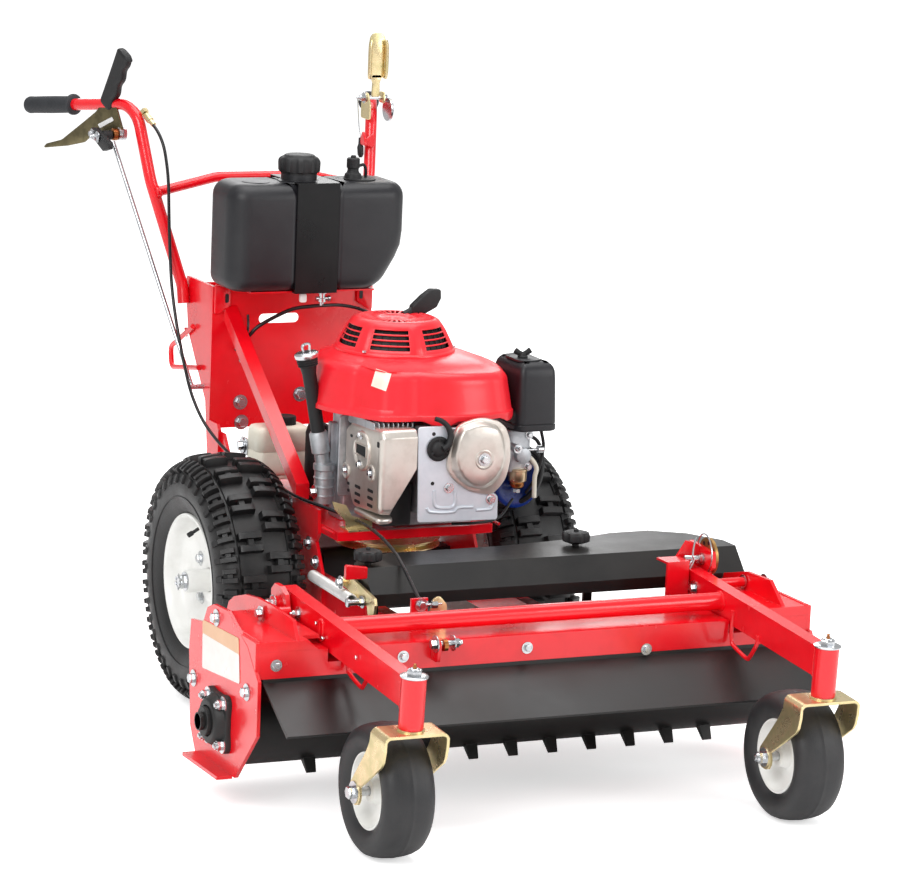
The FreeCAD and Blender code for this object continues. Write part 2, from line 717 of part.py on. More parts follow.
def belt_cover():
    """A thin cover, open below and sloped in front, on posts behind the hood."""
    right = -208
    left = D.head_x - 8
    front = D.cover_front
    low = D.cover_low
    high = D.cover_high

    def block(inset):
        plan = [(right + inset, front - 37 + inset), (left - inset, front - 37 + inset),
                (left - inset, front + 45), (left - 37, front + 112 - inset),
                (left - 95, front + 150 - inset), (left - 170, front + 148 - inset),
                (left - 260, front + 120 - inset), (left - 400, front + 100 - inset),
                (right + 45, front + 95 - inset), (right + inset, front + 40)]
        return plate("XY", plan, (low - (1 if inset else 0), high - inset), name="Cover")

    def slope(inset):
        line = [(front - 38, high - 39 - inset), (front - 38, high + 1), (front + 1, high + 1),
                (front + 1 - 0.4 * inset, high - inset), (front - 37 + inset, high - 39)]
        return plate("YZ", line if inset else [(front - 38, high - 39), (front - 38, high + 1),
                     (front + 1, high + 1)], (right - 1, left + 1), name="Slope")

    outer = cut(block(0), slope(0))
    inner = cut(block(2), slope(2))
    shell = cut(outer, inner)
    spots = ((-190, front + 25), (221, front + 70))
    knobs = [rod("z", 6, (high - 1, high + 10), place, "stud") for place in spots]
    tops = [rod("z", 20, (high + 9, high + 24), place, "knob") for place in spots]
    posts = [box((x - 8, x + 8), (D.hood_y, D.hood_y + 6), (D.hood_z - 48, high - 1), "post")
             for x in (-26 - D.frame_x, 221, 470)]
    return fuse(shell, *knobs, *tops, *posts)


node("belt_cover", belt_cover())


# ---------------------------------------------------------------- small parts on the head


def index_bracket():
    """Angle beside the left arm, with a fin that reaches over the arm to the pivot lug."""
    beside = D.arm_x - 60
    lug = D.arm_x + D.arm_w / 2 + 6
    face = box((beside, beside + 42), (-600, -595), (D.hood_z, 354), "face")
    shelf = box((beside, beside + 42), (-600, -559), (350, 354), "shelf")
    fin = plate("XZ", [(beside + 20, 346), (beside + 20, 354), (beside + 36, 354), (beside + 54, 381),
                       (beside + 65, 379), (lug, 372), (lug, 346)], (-564, -559), name="Fin")
    flange = box((beside + 37, beside + 42), (-600, -571), (D.hood_z, 352), "flange")
    foot = box((beside, beside + 42), (-600, -571), (D.hood_z, D.hood_z + 4), "foot")
    return fuse(face, shelf, fin, flange, foot)


node("index_bracket", index_bracket())

ear_out = D.arm_x + D.arm_w / 2 + 14
node("index_disc", rod("x", 33, (ear_out, ear_out + 6), (-578, 355), "disc"))


def cable_anchor():
    """A small upright plate on the hood with its foot."""
    foot = box((-188, -158), (-638, -608), (D.hood_z, D.hood_z + 4), "foot")
    rise = box((-188, -158), (-638, -633), (D.hood_z, 329), "rise")
    return fuse(foot, rise)


node("cable_anchor", cable_anchor())


def spring_lever():
    """Zinc lever on a foot that holds the front of the lift spring."""
    lever = plate("YZ", [(-548, 268), (-531, 268), (-524, 292), (-426, 304), (-407, 309), (-424, 322),
                         (-450, 327), (-552, 311), (-556, 300)], (-217, -212), name="Lever")
    hook = rod("x", 5, (-243, -212), (-508, 296), "hook")
    bolt = rod("x", 7, (-225, -210), (-428, 312), "bolt")
    return fuse(lever, hook, bolt)


node("spring_lever", spring_lever())


def slanted_rod(start, end, radius, name="slanted"):
    """A cylinder from one point to another."""
    first = V(*[float(c) for c in start])
    last = V(*[float(c) for c in end])
    bar = doc.addObject("Part::Cylinder", name)
    bind(bar, "Radius", radius)
    bar.Height = (last - first).Length
    return move(bar, *start, FreeCAD.Rotation(V(0, 0, 1), last - first))


node("lift_spring", slanted_rod((-10 - D.frame_x, -150, 262), (-230, -500.8, 296), 8))

# ---------------------------------------------------------------- tractor frame


def frame_side(side, word):
    """Side plate with its rail to the rake head, bored for the axle tube."""
    axle = D.drive_r
    outline = [(-20, up(24)), (-156, up(24)), (-160, up(-18)), (-150, up(-34)), (-185, axle + 38),
               (-185, axle - 24), (-60, axle - 34), (60, axle - 74), (200, axle - 24),
               (380, up(-22)), (380, D.tower_low), (300, D.tower_low), (262, up(24))]
    span = across(side, D.frame_x - D.plate, D.frame_x)
    wall = plate("YZ", outline, span, holes=[(0, D.drive_r, D.housing_r + D.running)], name="FrameSide")
    beside = across(side, D.rail_in, D.frame_x - D.plate)
    rail = box(beside, (D.hood_y, -80), (D.rail_low, D.rail_high), "rail")
    node("frame_side_" + word, fuse(wall, rail))


side_pair(frame_side)


def deck():
    """Folded engine deck: a sheet with a lip all round, open below."""
    wide = D.frame_x - D.plate
    rear = 354

    def tray(inset, low, high):
        front = D.deck_front + inset
        half = wide - inset
        plan = [(-half, front + 5), (-106, front), (106, front), (half, front + 5),
                (half, rear - inset), (-half, rear - inset)]
        return plate("XY", plan, (low, high), name="Deck")

    shaft_hole = rod("z", 60, (D.deck_low, D.deck_z + 1), (D.crank_x, D.crank_y), "hole")
    return cut(tray(0, D.deck_low, D.deck_z), tray(D.sheet, D.deck_low - 1, D.deck_z - D.sheet),
               shaft_hole)


node("deck", deck())


def tower():
    """Bent panel with two cheeks that carries the tank and the handlebar."""
    outer = D.tower_x
    wall = D.tower_x - D.frame_x
    front = box((-outer, outer), (D.tower_y, D.tower_y + D.sheet), (D.tower_low, D.tower_high), "front")
    through = (D.tower_y - 1, D.tower_y + D.sheet + 1)
    slot = box((-58, 4), through, (up(266), up(284)), "slot")
    ends = [rod("y", 9, through, (x, up(275)), "slot_end") for x in (-58, 4)]
    panel = cut(front, slot, *ends)
    cheeks = []
    low = D.tower_low
    high = D.tower_high
    outline = [(D.tower_y, high), (D.tower_y, low + 16), (318, low + 16), (310, low + 6),
               (310, low - 38), (366, low - 38), (381, low + 49), (426, low + 102),
               (478, high - 101), (497, high - 13), (490, high)]
    for side in (-1, 1):
        cheeks.append(plate("YZ", outline, across(side, outer - wall, outer), name="Cheek"))
    shelf = box((-122.6, 122.6), (263, 380), (D.tower_high, D.tower_high + D.sheet), "shelf")
    back = box((-outer + 1, outer - 1), (455, 458), (high - 66, high - 8), "back")
    x = -outer - 4.8
    top = float(high)
    loop = tube([(x, 440, top - 88), (x, 553, top - 145), (x, 545, top - 183),
                 (x, 405, float(low) + 106)], (16, 14), 5, "Loop")
    return fuse(panel, *cheeks, shelf, back, loop)


node("tower", tower())


def tower_brace():
    """Square bar from the tower's front down to the right side plate."""
    bar = doc.addObject("Part::Wedge", "brace")
    top = D.frame_x + 6.5
    for prop, size in (("Ymin", -70), ("Ymax", D.tower_y), ("Xmin", -top), ("Xmax", 25 - top),
                       ("X2min", -137), ("X2max", -112), ("Zmin", up(25)), ("Zmax", up(53)),
                       ("Z2min", D.tower_high - 64), ("Z2max", D.tower_high - 36)):
        bind(bar, prop, size)
    foot = box((-D.frame_x, D.plate - D.frame_x), (-120, -50), (up(24), up(28)), "foot")
    return fuse(bar, foot)


node("tower_brace", tower_brace())


def transaxle():
    """Gearbox with an axle tube on each side, bored for the drive axles."""
    half = D.housing_x
    case = box((-half, half), (-75, 75), (D.drive_r - 59, D.drive_r + 61), "case")
    case = round_edges(case, 22, lambda middle, heading: abs(heading.x) > 0.99)
    reach = D.frame_x + 11
    arms = rod("x", D.housing_r, (-reach, reach), (0, D.drive_r), "axle_tube")
    body = fuse(case, arms)
    bores = [rod("x", D.axle_r + D.running, across(side, D.axle_in - 5, reach + 1), (0, D.drive_r), "bore")
             for side in (-1, 1)]
    mount = [box(across(side, half - 1, D.frame_x - D.plate), (-60, -20), (D.drive_r + 31.5, D.drive_r + 50),
                 "mount") for side in (-1, 1)]
    return fuse(cut(body, *bores), *mount)


node("transaxle", transaxle())

# ---------------------------------------------------------------- handlebar


def bar_points(side):
    """Centre line of a handlebar: tower, knee, elbow and hand."""
    return [(side * float(D.foot_x), float(D.foot_y) - 8, float(D.foot_z) - 32),
            (side * float(D.foot_x), float(D.foot_y), float(D.foot_z)),
            (side * float(D.knee_x), float(D.knee_y), float(D.knee_z)),
            (side * float(D.elbow_x), float(D.elbow_y), float(D.elbow_z)),
            (side * float(D.hand_x), float(D.hand_y), float(D.hand_z))]


def handlebar(side, word):
    node("handlebar_" + word, tube(bar_points(side), (60, 200, 55), D.tube_r, "Handlebar"))


side_pair(handlebar)


def grip(side, word):
    """Rubber sleeve with a closed end, pushed over the end of the tube."""
    points = bar_points(side)
    hand = V(*points[-1])
    heading = (hand - V(*points[-2])).normalize()
    long = D.grip_long
    sleeve = rod("z", D.grip_r, (-long, 4), (0, 0), "sleeve")
    flange = rod("z", D.grip_r + 3.5, (-long, 8 - long), (0, 0), "flange")
    bore = rod("z", D.tube_r + D.running, (-1 - long, 0.1), (0, 0), "bore")
    rubber = cut(fuse(sleeve, flange), bore)
    turn = FreeCAD.Rotation(V(0, 0, 1), heading)
    node("grip_" + word, move(rubber, side * D.hand_x, D.hand_y, D.hand_z, turn))


side_pair(grip)


def handle_crossbar():
    """Bar between the handlebars, with the console tray under it."""
    low = float(D.knee_z) - 19
    points = [(-218, 512, low), (-95, 520, low + 26), (95, 520, low + 26), (218, 512, low)]
    bar = tube(points, (60, 60), 9.5, "Crossbar")
    trims = [tube(bar_points(side), (60, 200, 55), D.tube_r + 0.2, "Trim") for side in (-1, 1)]
    knee = D.knee_z
    tray = plate("YZ", [(520, knee - 2), (505, knee - 2), (466, knee - 42), (466, knee - 52),
                        (469, knee - 52), (469, knee - 43), (506, knee - 5), (520, knee - 5)],
                 (-92, 92), name="Tray")
    return fuse(cut(bar, *trims), tray)


node("handle_crossbar", handle_crossbar())


def lever_right():
    """Control lever at the right hand: grip, paddle plate, hub and clamp."""
    hub_x = -258
    hub_y = 598
    elbow = D.elbow_z
    swing = FreeCAD.Rotation(V(0, 0, 1), 21.7)
    paddle = plate("YZ", [(222, -110), (210, -100), (167, -88), (103, -44), (67, -8), (53, -2),
                          (17, -3), (-3, -46), (-3, -63), (20, -69), (60, -67), (85, -73),
                          (102, -86), (150, -98)], (-2, 2), name="Paddle")
    move(paddle, hub_x, hub_y, elbow, swing)
    handle = slanted_rod((-268, 640, elbow - 18), (-262, 570, elbow + 95), 13.5, "handle")
    hub = rod("x", 14, (-280, -228), (606, elbow - 59), "hub")
    clamp = box((-250, -238), (572, 606), (elbow - 69, elbow - 47), "clamp")
    trim = tube(bar_points(-1), (60, 200, 55), D.tube_r + 0.2, "Trim")
    return cut(fuse(paddle, handle, hub, clamp), trim)


node("lever_right", lever_right())


def lever_left():
    """Zinc lever on the left handlebar's elbow: flat neck, wide paddle, pivot."""
    x = 241
    elbow = D.elbow_z
    neck = box((x - 8, x + 8), (556, 562), (elbow + 16, elbow + 49), "neck")
    blade = box((x - 18, x + 18), (556, 561), (elbow + 47, elbow + 133), "blade")
    blade = round_edges(blade, 14, lambda middle, heading: abs(heading.y) > 0.99 and middle.z > float(elbow) + 97)
    edge_a = box((x - 18, x - 15), (548, 557), (elbow + 53, elbow + 119), "edge")
    edge_b = box((x + 15, x + 18), (548, 557), (elbow + 53, elbow + 119), "edge")
    clamp = rod("x", 10, (x - 20, x + 12), (559, elbow + 17), "clamp")
    disc = rod("x", 24, (x - 22, x - 17), (545, elbow - 11), "disc")
    lug = box((x - 22, x - 6), (535, 576), (elbow - 31, elbow + 19), "lug")
    trim = tube(bar_points(1), (60, 200, 55), D.tube_r + 0.2, "Trim")
    return cut(fuse(neck, blade, edge_a, edge_b, clamp, disc, lug), trim)


node("lever_left", lever_left())


def control_rod():
    bar = slanted_rod((-271, 606, D.elbow_z - 74.6), (-23 - D.tower_x, 390, D.tower_low + 73), 4)
    pin = rod("x", 5, (-28 - D.tower_x, -D.tower_x), (390, D.tower_low + 73), "pin")
    return fuse(bar, pin)


node("control_rod", control_rod())

# ---------------------------------------------------------------- fuel tank


def fuel_tank():
    half = D.tank_w / 2
    low = D.tower_high + D.sheet
    back = D.tank_y + D.tank_deep
    side = half + 13
    block = box((-half, side), (D.tank_y, back), (low, low + D.tank_tall), "tank")
    block = round_edges(block, 40, upright)
    wedge = plate("XZ", [(side - 46, low - 1), (side + 1, low - 1), (side + 1, low + 76), (side - 4, low + 76)],
                  (D.tank_y - 1, back + 1), name="Undercut")
    top = low + D.tank_tall
    neck = rod("z", 32, (top - 5, top + 18), (-20, D.tank_y + 50), "neck")
    seat = rod("z", 23, (top - 1, top + 10), (92, D.tank_y + 60), "seat")
    valve = rod("z", 12, (top + 9, top + 38), (92, D.tank_y + 60), "valve")
    return fuse(cut(block, wedge), neck, seat, valve)


node("fuel_tank", fuel_tank())

tank_top = D.tower_high + D.sheet + D.tank_tall


def fuel_cap():
    cap = rod("z", 38, (tank_top + 18, tank_top + 42), (-20, D.tank_y + 50), "cap")
    dome = cone("z", (38, 26), (tank_top + 42, tank_top + 50), (-20, D.tank_y + 50), "dome")
    return fuse(cap, dome)


node("fuel_cap", fuel_cap())


def tank_strap():
    """Steel band over the tank, down in front to the shelf and down behind."""
    back = D.tank_y + D.tank_deep
    low = D.tower_high
    front = box((-42, 41), (D.tank_y - 2, D.tank_y), (low, tank_top + 2), "front")
    lip = box((-42, 41), (D.tank_y - 2, 263), (low, low + D.sheet), "lip")
    over = box((-42, 41), (D.tank_y - 1, back + 1), (tank_top, tank_top + 2), "over")
    rear = box((-42, 41), (back, back + 2), (low, tank_top + 2), "rear")
    neck = rod("z", 34, (tank_top - 1, tank_top + 3), (-20, D.tank_y + 50), "neck")
    return cut(fuse(front, lip, over, rear), neck)


node("tank_strap", tank_strap())

# ---------------------------------------------------------------- engine


def engine_block():
    """Crankcase, its cylinder towards the front and the shaft below the deck."""
    x = D.crank_x
    low = D.deck_z
    high = D.shroud_low
    case = box((x - 108, x + 107), (-138, 55), (low, high), "case")
    case = round_edges(case, 30, lambda middle, heading: upright(middle, heading) and middle.y > 0)
    neck = box((x - 41, x + 107), (-215, -137), (low, high), "neck")
    cylinder = box((x - 28, x + 107), (-290, -214), (low + 33, high - 10), "cylinder")
    shaft = rod("z", 12.7, (D.pulley_low - 10, low + 1), (x, D.crank_y), "shaft")
    shield = box((-31, 124), (-303, -289), (low + 21, high - 10), "shield")
    return fuse(case, neck, cylinder, shaft, shield)


node("engine_block", engine_block())


def valve_cover():
    block = box((12, 128), (-330, -303), (up(70), up(201)), "cover")
    return round_edges(block, 30, lambda middle, heading: abs(heading.y) > 0.99)


node("valve_cover", valve_cover())


def engine_shroud():
    """Moulded cover over the crankcase and cylinder."""
    plan = [(-115, -200), (-88, -270), (150, -270), (180, -235), (180, -60), (130, 35), (60, 45),
            (-80, 45), (-115, 10)]
    block = plate("XY", plan, (D.shroud_low, D.fan_low), name="Shroud")
    return round_edges(block, 20, lambda middle, heading: abs(heading.z) < 0.01 and middle.z > float(D.fan_low) - 48)


node("engine_shroud", engine_shroud())

node("fan_cover", cone("z", (D.fan_r, D.fan_top_r), (D.fan_low, D.fan_high), (D.crank_x, D.crank_y), "fan"))


def recoil_grip():
    stem = box((D.crank_x + 50, D.crank_x + 64), (-66, -54), (D.fan_high, D.fan_high + 12), "stem")
    bar = box((D.crank_x + 46, D.crank_x + 98), (-68, -52), (D.fan_high + 11, D.fan_high + 41), "bar")
    return fuse(stem, round_edges(bar, 6, lambda middle, heading: abs(heading.y) > 0.99))


node("recoil_grip", recoil_grip())


def muffler():
    body = box((-102, D.crank_x - 41), (-305, -140), (up(33), up(188)), "muffler")
    body = round_edges(body, 22, lambda middle, heading: abs(heading.x) > 0.99)
    outlet = rod("x", 35, (-112, -100), (-214, up(139)), "outlet")
    hole = box((-113, -104), (-238, -190), (up(128), up(150)), "hole")
    return cut(fuse(body, outlet), hole)


node("muffler", muffler())


def carburettor():
    body = box((D.crank_x + 107, 225), (-215, -165), (up(88), up(148)), "body")
    bowl = rod("z", 18, (up(48), up(89)), (206, -192), "bowl")
    tap = rod("y", 20, (-212, -186), (206, up(46)), "tap")
    riser = box((188, 226), (-212, -168), (up(147), up(163)), "riser")
    return fuse(body, bowl, tap, riser)


node("carburettor", carburettor())


def air_cleaner():
    block = box((181, 260), (-250, -125), (up(163), up(286)), "cleaner")
    return round_edges(block, 12, upright)


node("air_cleaner", air_cleaner())


def oil_filler():
    """Slanted dipstick tube on a boss of the crankcase."""
    foot = (-123, -100, up(90))
    head = (-162, -100, up(289))
    pipe = slanted_rod(foot, head, 12, "pipe")
    cap = slanted_rod((-158, -100, up(269)), (-166, -100, up(310)), 17, "cap")
    boss = rod("x", 15, (-134, D.crank_x - 108), (-100, up(84)), "boss")
    return fuse(pipe, cap, boss)


node("oil_filler", oil_filler())


def oil_reservoir():
    """Pale bottle behind the right wheel's frame plate, with a screw cap."""
    bottle = box((-11 - D.frame_x, -60), (100, 165), (up(30), up(120)), "bottle")
    bottle = round_edges(bottle, 12, upright)
    cap = rod("z", 20, (up(119), up(136)), (-100, 135), "cap")
    foot = box((-D.frame_x, -100), (105, 155), (up(24), up(31)), "foot")
    return fuse(bottle, cap, foot)


node("oil_reservoir", oil_reservoir())


def drive_pulley():
    """Grooved pulley below the deck on the crankshaft."""
    bore = 12.7 + D.running
    low = D.pulley_low
    rim = [(0, bore), (0, D.pulley_r), (2, D.pulley_r), (6, D.pulley_r - 10), (8, D.pulley_r - 10),
           (12, D.pulley_r), (14, D.pulley_r), (14, 30), (30, 30), (30, bore)]
    return turned(rim, (D.crank_x, D.crank_y, low), axis="z", name="Pulley")


node("drive_pulley", drive_pulley())


# ---------------------------------------------------------------- cables


def cable_bracket():
    """A foot on the deck's front edge and an upright ear that holds both cables."""
    base = box((-130, -80), (-237, -200), (D.deck_z, D.deck_z + 3), "base")
    rise = plate("XZ", [(-130, up(2)), (-130, up(16)), (-151, up(38)), (-156, up(53)), (-130, up(45)),
                        (-119, up(26)), (-80, up(14)), (-80, up(2))], (-224, -221), name="Rise")
    return fuse(base, rise)


node("cable_bracket", cable_bracket())


def route(keys, step):
    """Points spaced evenly along a smooth curve through the key points."""
    keys = [V(*key) for key in keys]
    keys = [keys[0] * 2 - keys[1]] + keys + [keys[-1] * 2 - keys[-2]]
    fine = []
    for a, b, c, d in zip(keys, keys[1:], keys[2:], keys[3:]):
        for i in range(50):
            u = i / 50
            curve = b * 2 + (c - a) * u + (a * 2 - b * 5 + c * 4 - d) * u ** 2
            fine.append((curve + (b * 3 - a - c * 3 + d) * u ** 3) * 0.5)
    fine.append(keys[-2])
    lengths = [0]
    for before, after in zip(fine, fine[1:]):
        lengths.append(lengths[-1] + (after - before).Length)
    runs = round(lengths[-1] / step)
    points = []
    for i in range(runs + 1):
        target = lengths[-1] * i / runs
        nearest = min(range(len(fine)), key=lambda k: abs(lengths[k] - target))
        points.append(tuple(fine[nearest]))
    return points


def cable(label, keys, step, radius):
    """A cable held along its whole way: straight runs joined by wide bends."""
    points = route(keys, step)
    radii = soft_radii(points)
    swept = tube(points, radii, radius, label)
    doc.recompute()
    length = bent_path(points, radii).Length
    print(label, "length %.0f" % length, "least bend %.0f" % min(radii),
          "volume ratio %.4f" % (swept.Shape.Volume / (math.pi * radius ** 2 * length)))
    node(label, swept)


cable("cable_main", [(-227, 556, 986), (-212, 501, 948), (-205, 490, 905), (-202, 487, 842),
                     (-200, 485, 775), (-200, 457, 650), (-196, 384, 516), (-195, 340, 470),
                     (-186, 290, 432), (-176, 199, 403), (-173, 90, 392), (-168, 10, 389),
                     (-167, -70, 386), (-161, -130, 385), (-140, -180, 382), (-117, -219.1, 373)],
      70, 3)
cable("cable_clutch", [(-110, -224.6, 369), (-116, -300, 372), (-128, -400, 368), (-140, -480, 357),
                       (-154, -560, 336), (-168, -632.4, 320)], 60, 3)

# ---------------------------------------------------------------- finish

doc.recompute()
faulty = [thing.Label for thing in doc.Objects
          if "Invalid" in thing.State or "Error" in thing.State]
if faulty:
    raise RuntimeError("objects that failed: %s" % faulty)
for label, thing in NODES.items():
    if thing.Shape.isNull() or not thing.Shape.isValid():
        raise RuntimeError("bad shape: " + label)

os.makedirs("parts", exist_ok=True)
total = Part.makeCompound([thing.Shape for thing in NODES.values()]).BoundBox
print("nodes %d" % len(NODES))
print("box x %.1f..%.1f y %.1f..%.1f z %.1f..%.1f" % (
    total.XMin, total.XMax, total.YMin, total.YMax, total.ZMin, total.ZMax))
for label, thing in NODES.items():
    thing.Shape.exportStep("parts/%s.step" % label)
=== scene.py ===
# %% [markdown]
# # A walk-behind power rake, piece by piece
# The real machine is a red steel tractor with an engine on a deck and two
# lugged drive wheels. In front of it a toothed drum turns under a hood, and
# two hinged arms with caster wheels set how deep the teeth reach. The frame
# comes from the CAD model, so this lesson only adds looks: we load the model,
# set the camera and the lamps, make one material per real finish, and then
# build the pieces whose shape deserves more than the CAD solid.

# %% Load the fixed frame
import math
import bmesh
import bpy
import numpy as np
from mathutils import Matrix, Vector


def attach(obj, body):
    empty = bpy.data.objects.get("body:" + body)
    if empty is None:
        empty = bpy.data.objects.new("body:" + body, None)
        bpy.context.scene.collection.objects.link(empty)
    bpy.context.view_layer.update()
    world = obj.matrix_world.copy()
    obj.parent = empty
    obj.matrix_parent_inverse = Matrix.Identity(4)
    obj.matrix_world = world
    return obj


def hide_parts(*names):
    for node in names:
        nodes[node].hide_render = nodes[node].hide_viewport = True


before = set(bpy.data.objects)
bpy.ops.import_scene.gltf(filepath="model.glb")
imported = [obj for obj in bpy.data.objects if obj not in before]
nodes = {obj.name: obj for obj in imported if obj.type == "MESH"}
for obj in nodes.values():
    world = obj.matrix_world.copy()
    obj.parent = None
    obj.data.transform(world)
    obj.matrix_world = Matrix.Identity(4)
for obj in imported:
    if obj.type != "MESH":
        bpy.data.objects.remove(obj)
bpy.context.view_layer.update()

# %% [markdown]
# ## Camera and light
# Products are shown with a long lens from some way off, so that parallel
# edges stay nearly parallel. We give the camera its place and its three axes
# as plain numbers. The lamps are large soft panels round a white sweep.

# %% The camera
shift = 0.1028          # the CAD frame's origin is this far ahead of the drive axle
turn = math.radians(-24.968)      # round the upright, from straight ahead
tilt = math.radians(10.938)       # looking down
lean = math.radians(2.3126)       # rolled a little to one side
eye = [-2.91892, -6.62773 + shift, 1.86738]
film_mm, lens_mm = 36.0, 164.8
back = np.array([math.sin(turn) * math.cos(tilt), -math.cos(turn) * math.cos(tilt), math.sin(tilt)])
level = np.array([math.cos(turn), math.sin(turn), 0.0])
above = np.cross(back, level)
right = math.cos(lean) * level + math.sin(lean) * above
upward = -math.sin(lean) * level + math.cos(lean) * above
camera = bpy.data.objects.new("camera", bpy.data.cameras.new("camera"))
bpy.context.scene.collection.objects.link(camera)
pose = np.eye(4)
pose[:3, 0], pose[:3, 1], pose[:3, 2] = right, upward, back
pose[:3, 3] = eye
camera.matrix_world = Matrix(pose.tolist())
camera.data.sensor_width, camera.data.lens = film_mm, lens_mm
camera.data.clip_end = 100.0      # metres, past the far edge of what the floor shows
bpy.context.scene.camera = camera
print("lens", camera.data.lens, "mm")

# %% [markdown]
# Soft light comes from large sources. A sky texture would also do, but four
# panels are easy to reason about: a key, a fill, a top and one behind, and a
# white room that adds the rest. The floor is white and slightly lit, for the
# camera only, so that nothing but the shadow shows on it.

# %% The lamps and the sweep
def panel(name, place, target, size, power):
    """A square area lamp at one point, aimed at another."""
    lamp = bpy.data.lights.new(name, "AREA")
    lamp.shape = "RECTANGLE"
    lamp.size, lamp.size_y = size
    lamp.energy = power
    thing = bpy.data.objects.new(name, lamp)
    bpy.context.scene.collection.objects.link(thing)
    away = np.array(place, float) - np.array(target, float)
    away /= np.linalg.norm(away)
    side = np.cross([0.0, 0.0, 1.0], away)
    side /= np.linalg.norm(side)
    basis = np.eye(4)
    basis[:3, 0], basis[:3, 1], basis[:3, 2] = side, np.cross(away, side), away
    basis[:3, 3] = place
    thing.matrix_world = Matrix(basis.tolist())
    return thing


panel("key_panel", (-3.6, -3.2, 3.4), (0, 0, 0.5), (2.4, 2.4), 130)
panel("fill_panel", (3.4, -4.0, 2.2), (0, 0, 0.5), (2.6, 2.2), 85)
panel("top_panel", (0.2, 0.3, 4.2), (0, 0, 0.4), (3.4, 3.4), 115)
panel("rear_panel", (1.5, 4.2, 2.6), (0, 0, 0.6), (2.6, 2.0), 55)


def add(tree, kind, sockets=None, **settings):
    """Adds one shader node, sets its properties, and fills or links its sockets."""
    node = tree.nodes.new(kind)
    for word, value in settings.items():
        setattr(node, word, value)
    for word, value in (sockets or {}).items():
        if isinstance(value, bpy.types.NodeSocket):
            tree.links.new(value, node.inputs[word])
        else:
            node.inputs[word].default_value = value
    return node


def linear(code):
    """An sRGB hex colour as linear red, green, blue and 1."""
    values = np.array([int(code[i:i + 2], 16) for i in (1, 3, 5)]) / 255
    values = np.where(values <= 0.04045, values / 12.92, ((values + 0.055) / 1.055) ** 2.4)
    return (*[float(v) for v in values], 1.0)


world = bpy.data.worlds.new("studio")
world.use_nodes = True
world.node_tree.nodes.clear()
paths = add(world.node_tree, "ShaderNodeLightPath")
room_light = 0.55       # how much the white room adds to the four panels
plain = add(world.node_tree, "ShaderNodeBackground",
            {"Color": (1, 1, 1, 1), "Strength": room_light})
white = add(world.node_tree, "ShaderNodeBackground", {"Color": (1, 1, 1, 1), "Strength": 1.0})
both = add(world.node_tree, "ShaderNodeMixShader",
           {0: paths.outputs["Is Camera Ray"], 1: plain.outputs[0], 2: white.outputs[0]})
add(world.node_tree, "ShaderNodeOutputWorld", {"Surface": both.outputs[0]})
bpy.context.scene.world = world
bpy.context.scene.view_settings.view_transform = "Standard"


def pale_floor():
    """A floor that stays white where nothing shades it and keeps soft shadows."""
    paint = bpy.data.materials.new("pale_sweep")
    paint.use_nodes = True
    tree = paint.node_tree
    tree.nodes.clear()
    flat = add(tree, "ShaderNodeBsdfDiffuse", {"Color": linear("#FFFFFF")})
    lift = 0.56         # brings the lit floor up to white for the camera only
    glow = add(tree, "ShaderNodeEmission", {"Color": (1, 1, 1, 1), "Strength": lift})
    sum_up = add(tree, "ShaderNodeAddShader", {0: flat.outputs[0], 1: glow.outputs[0]})
    path = add(tree, "ShaderNodeLightPath")
    mixed = add(tree, "ShaderNodeMixShader", {0: path.outputs["Is Camera Ray"], 1: flat.outputs[0],
                                              2: sum_up.outputs[0]})
    add(tree, "ShaderNodeOutputMaterial", {"Surface": mixed.outputs[0]})
    mesh = bpy.data.meshes.new("floor")
    span = 40.0         # metres each way, so that no edge comes into view
    mesh.from_pydata([(-span, -span, 0), (span, -span, 0), (span, span, 0), (-span, span, 0)], [],
                     [(0, 1, 2, 3)])
    mesh.materials.append(paint)
    floor = bpy.data.objects.new("floor", mesh)
    bpy.context.scene.collection.objects.link(floor)


pale_floor()

# %% [markdown]
# ## Finishes
# Each material is named for the real finish. A finish is a colour, a gloss
# and a fine relief, and both drift a little over the surface. One function
# builds them all from the same few numbers: the drift pattern is soft noise,
# and the relief is finer noise whose grain is given in millimetres. Sharp CAD
# edges get a small rounding from a bevel node, as real plate has.

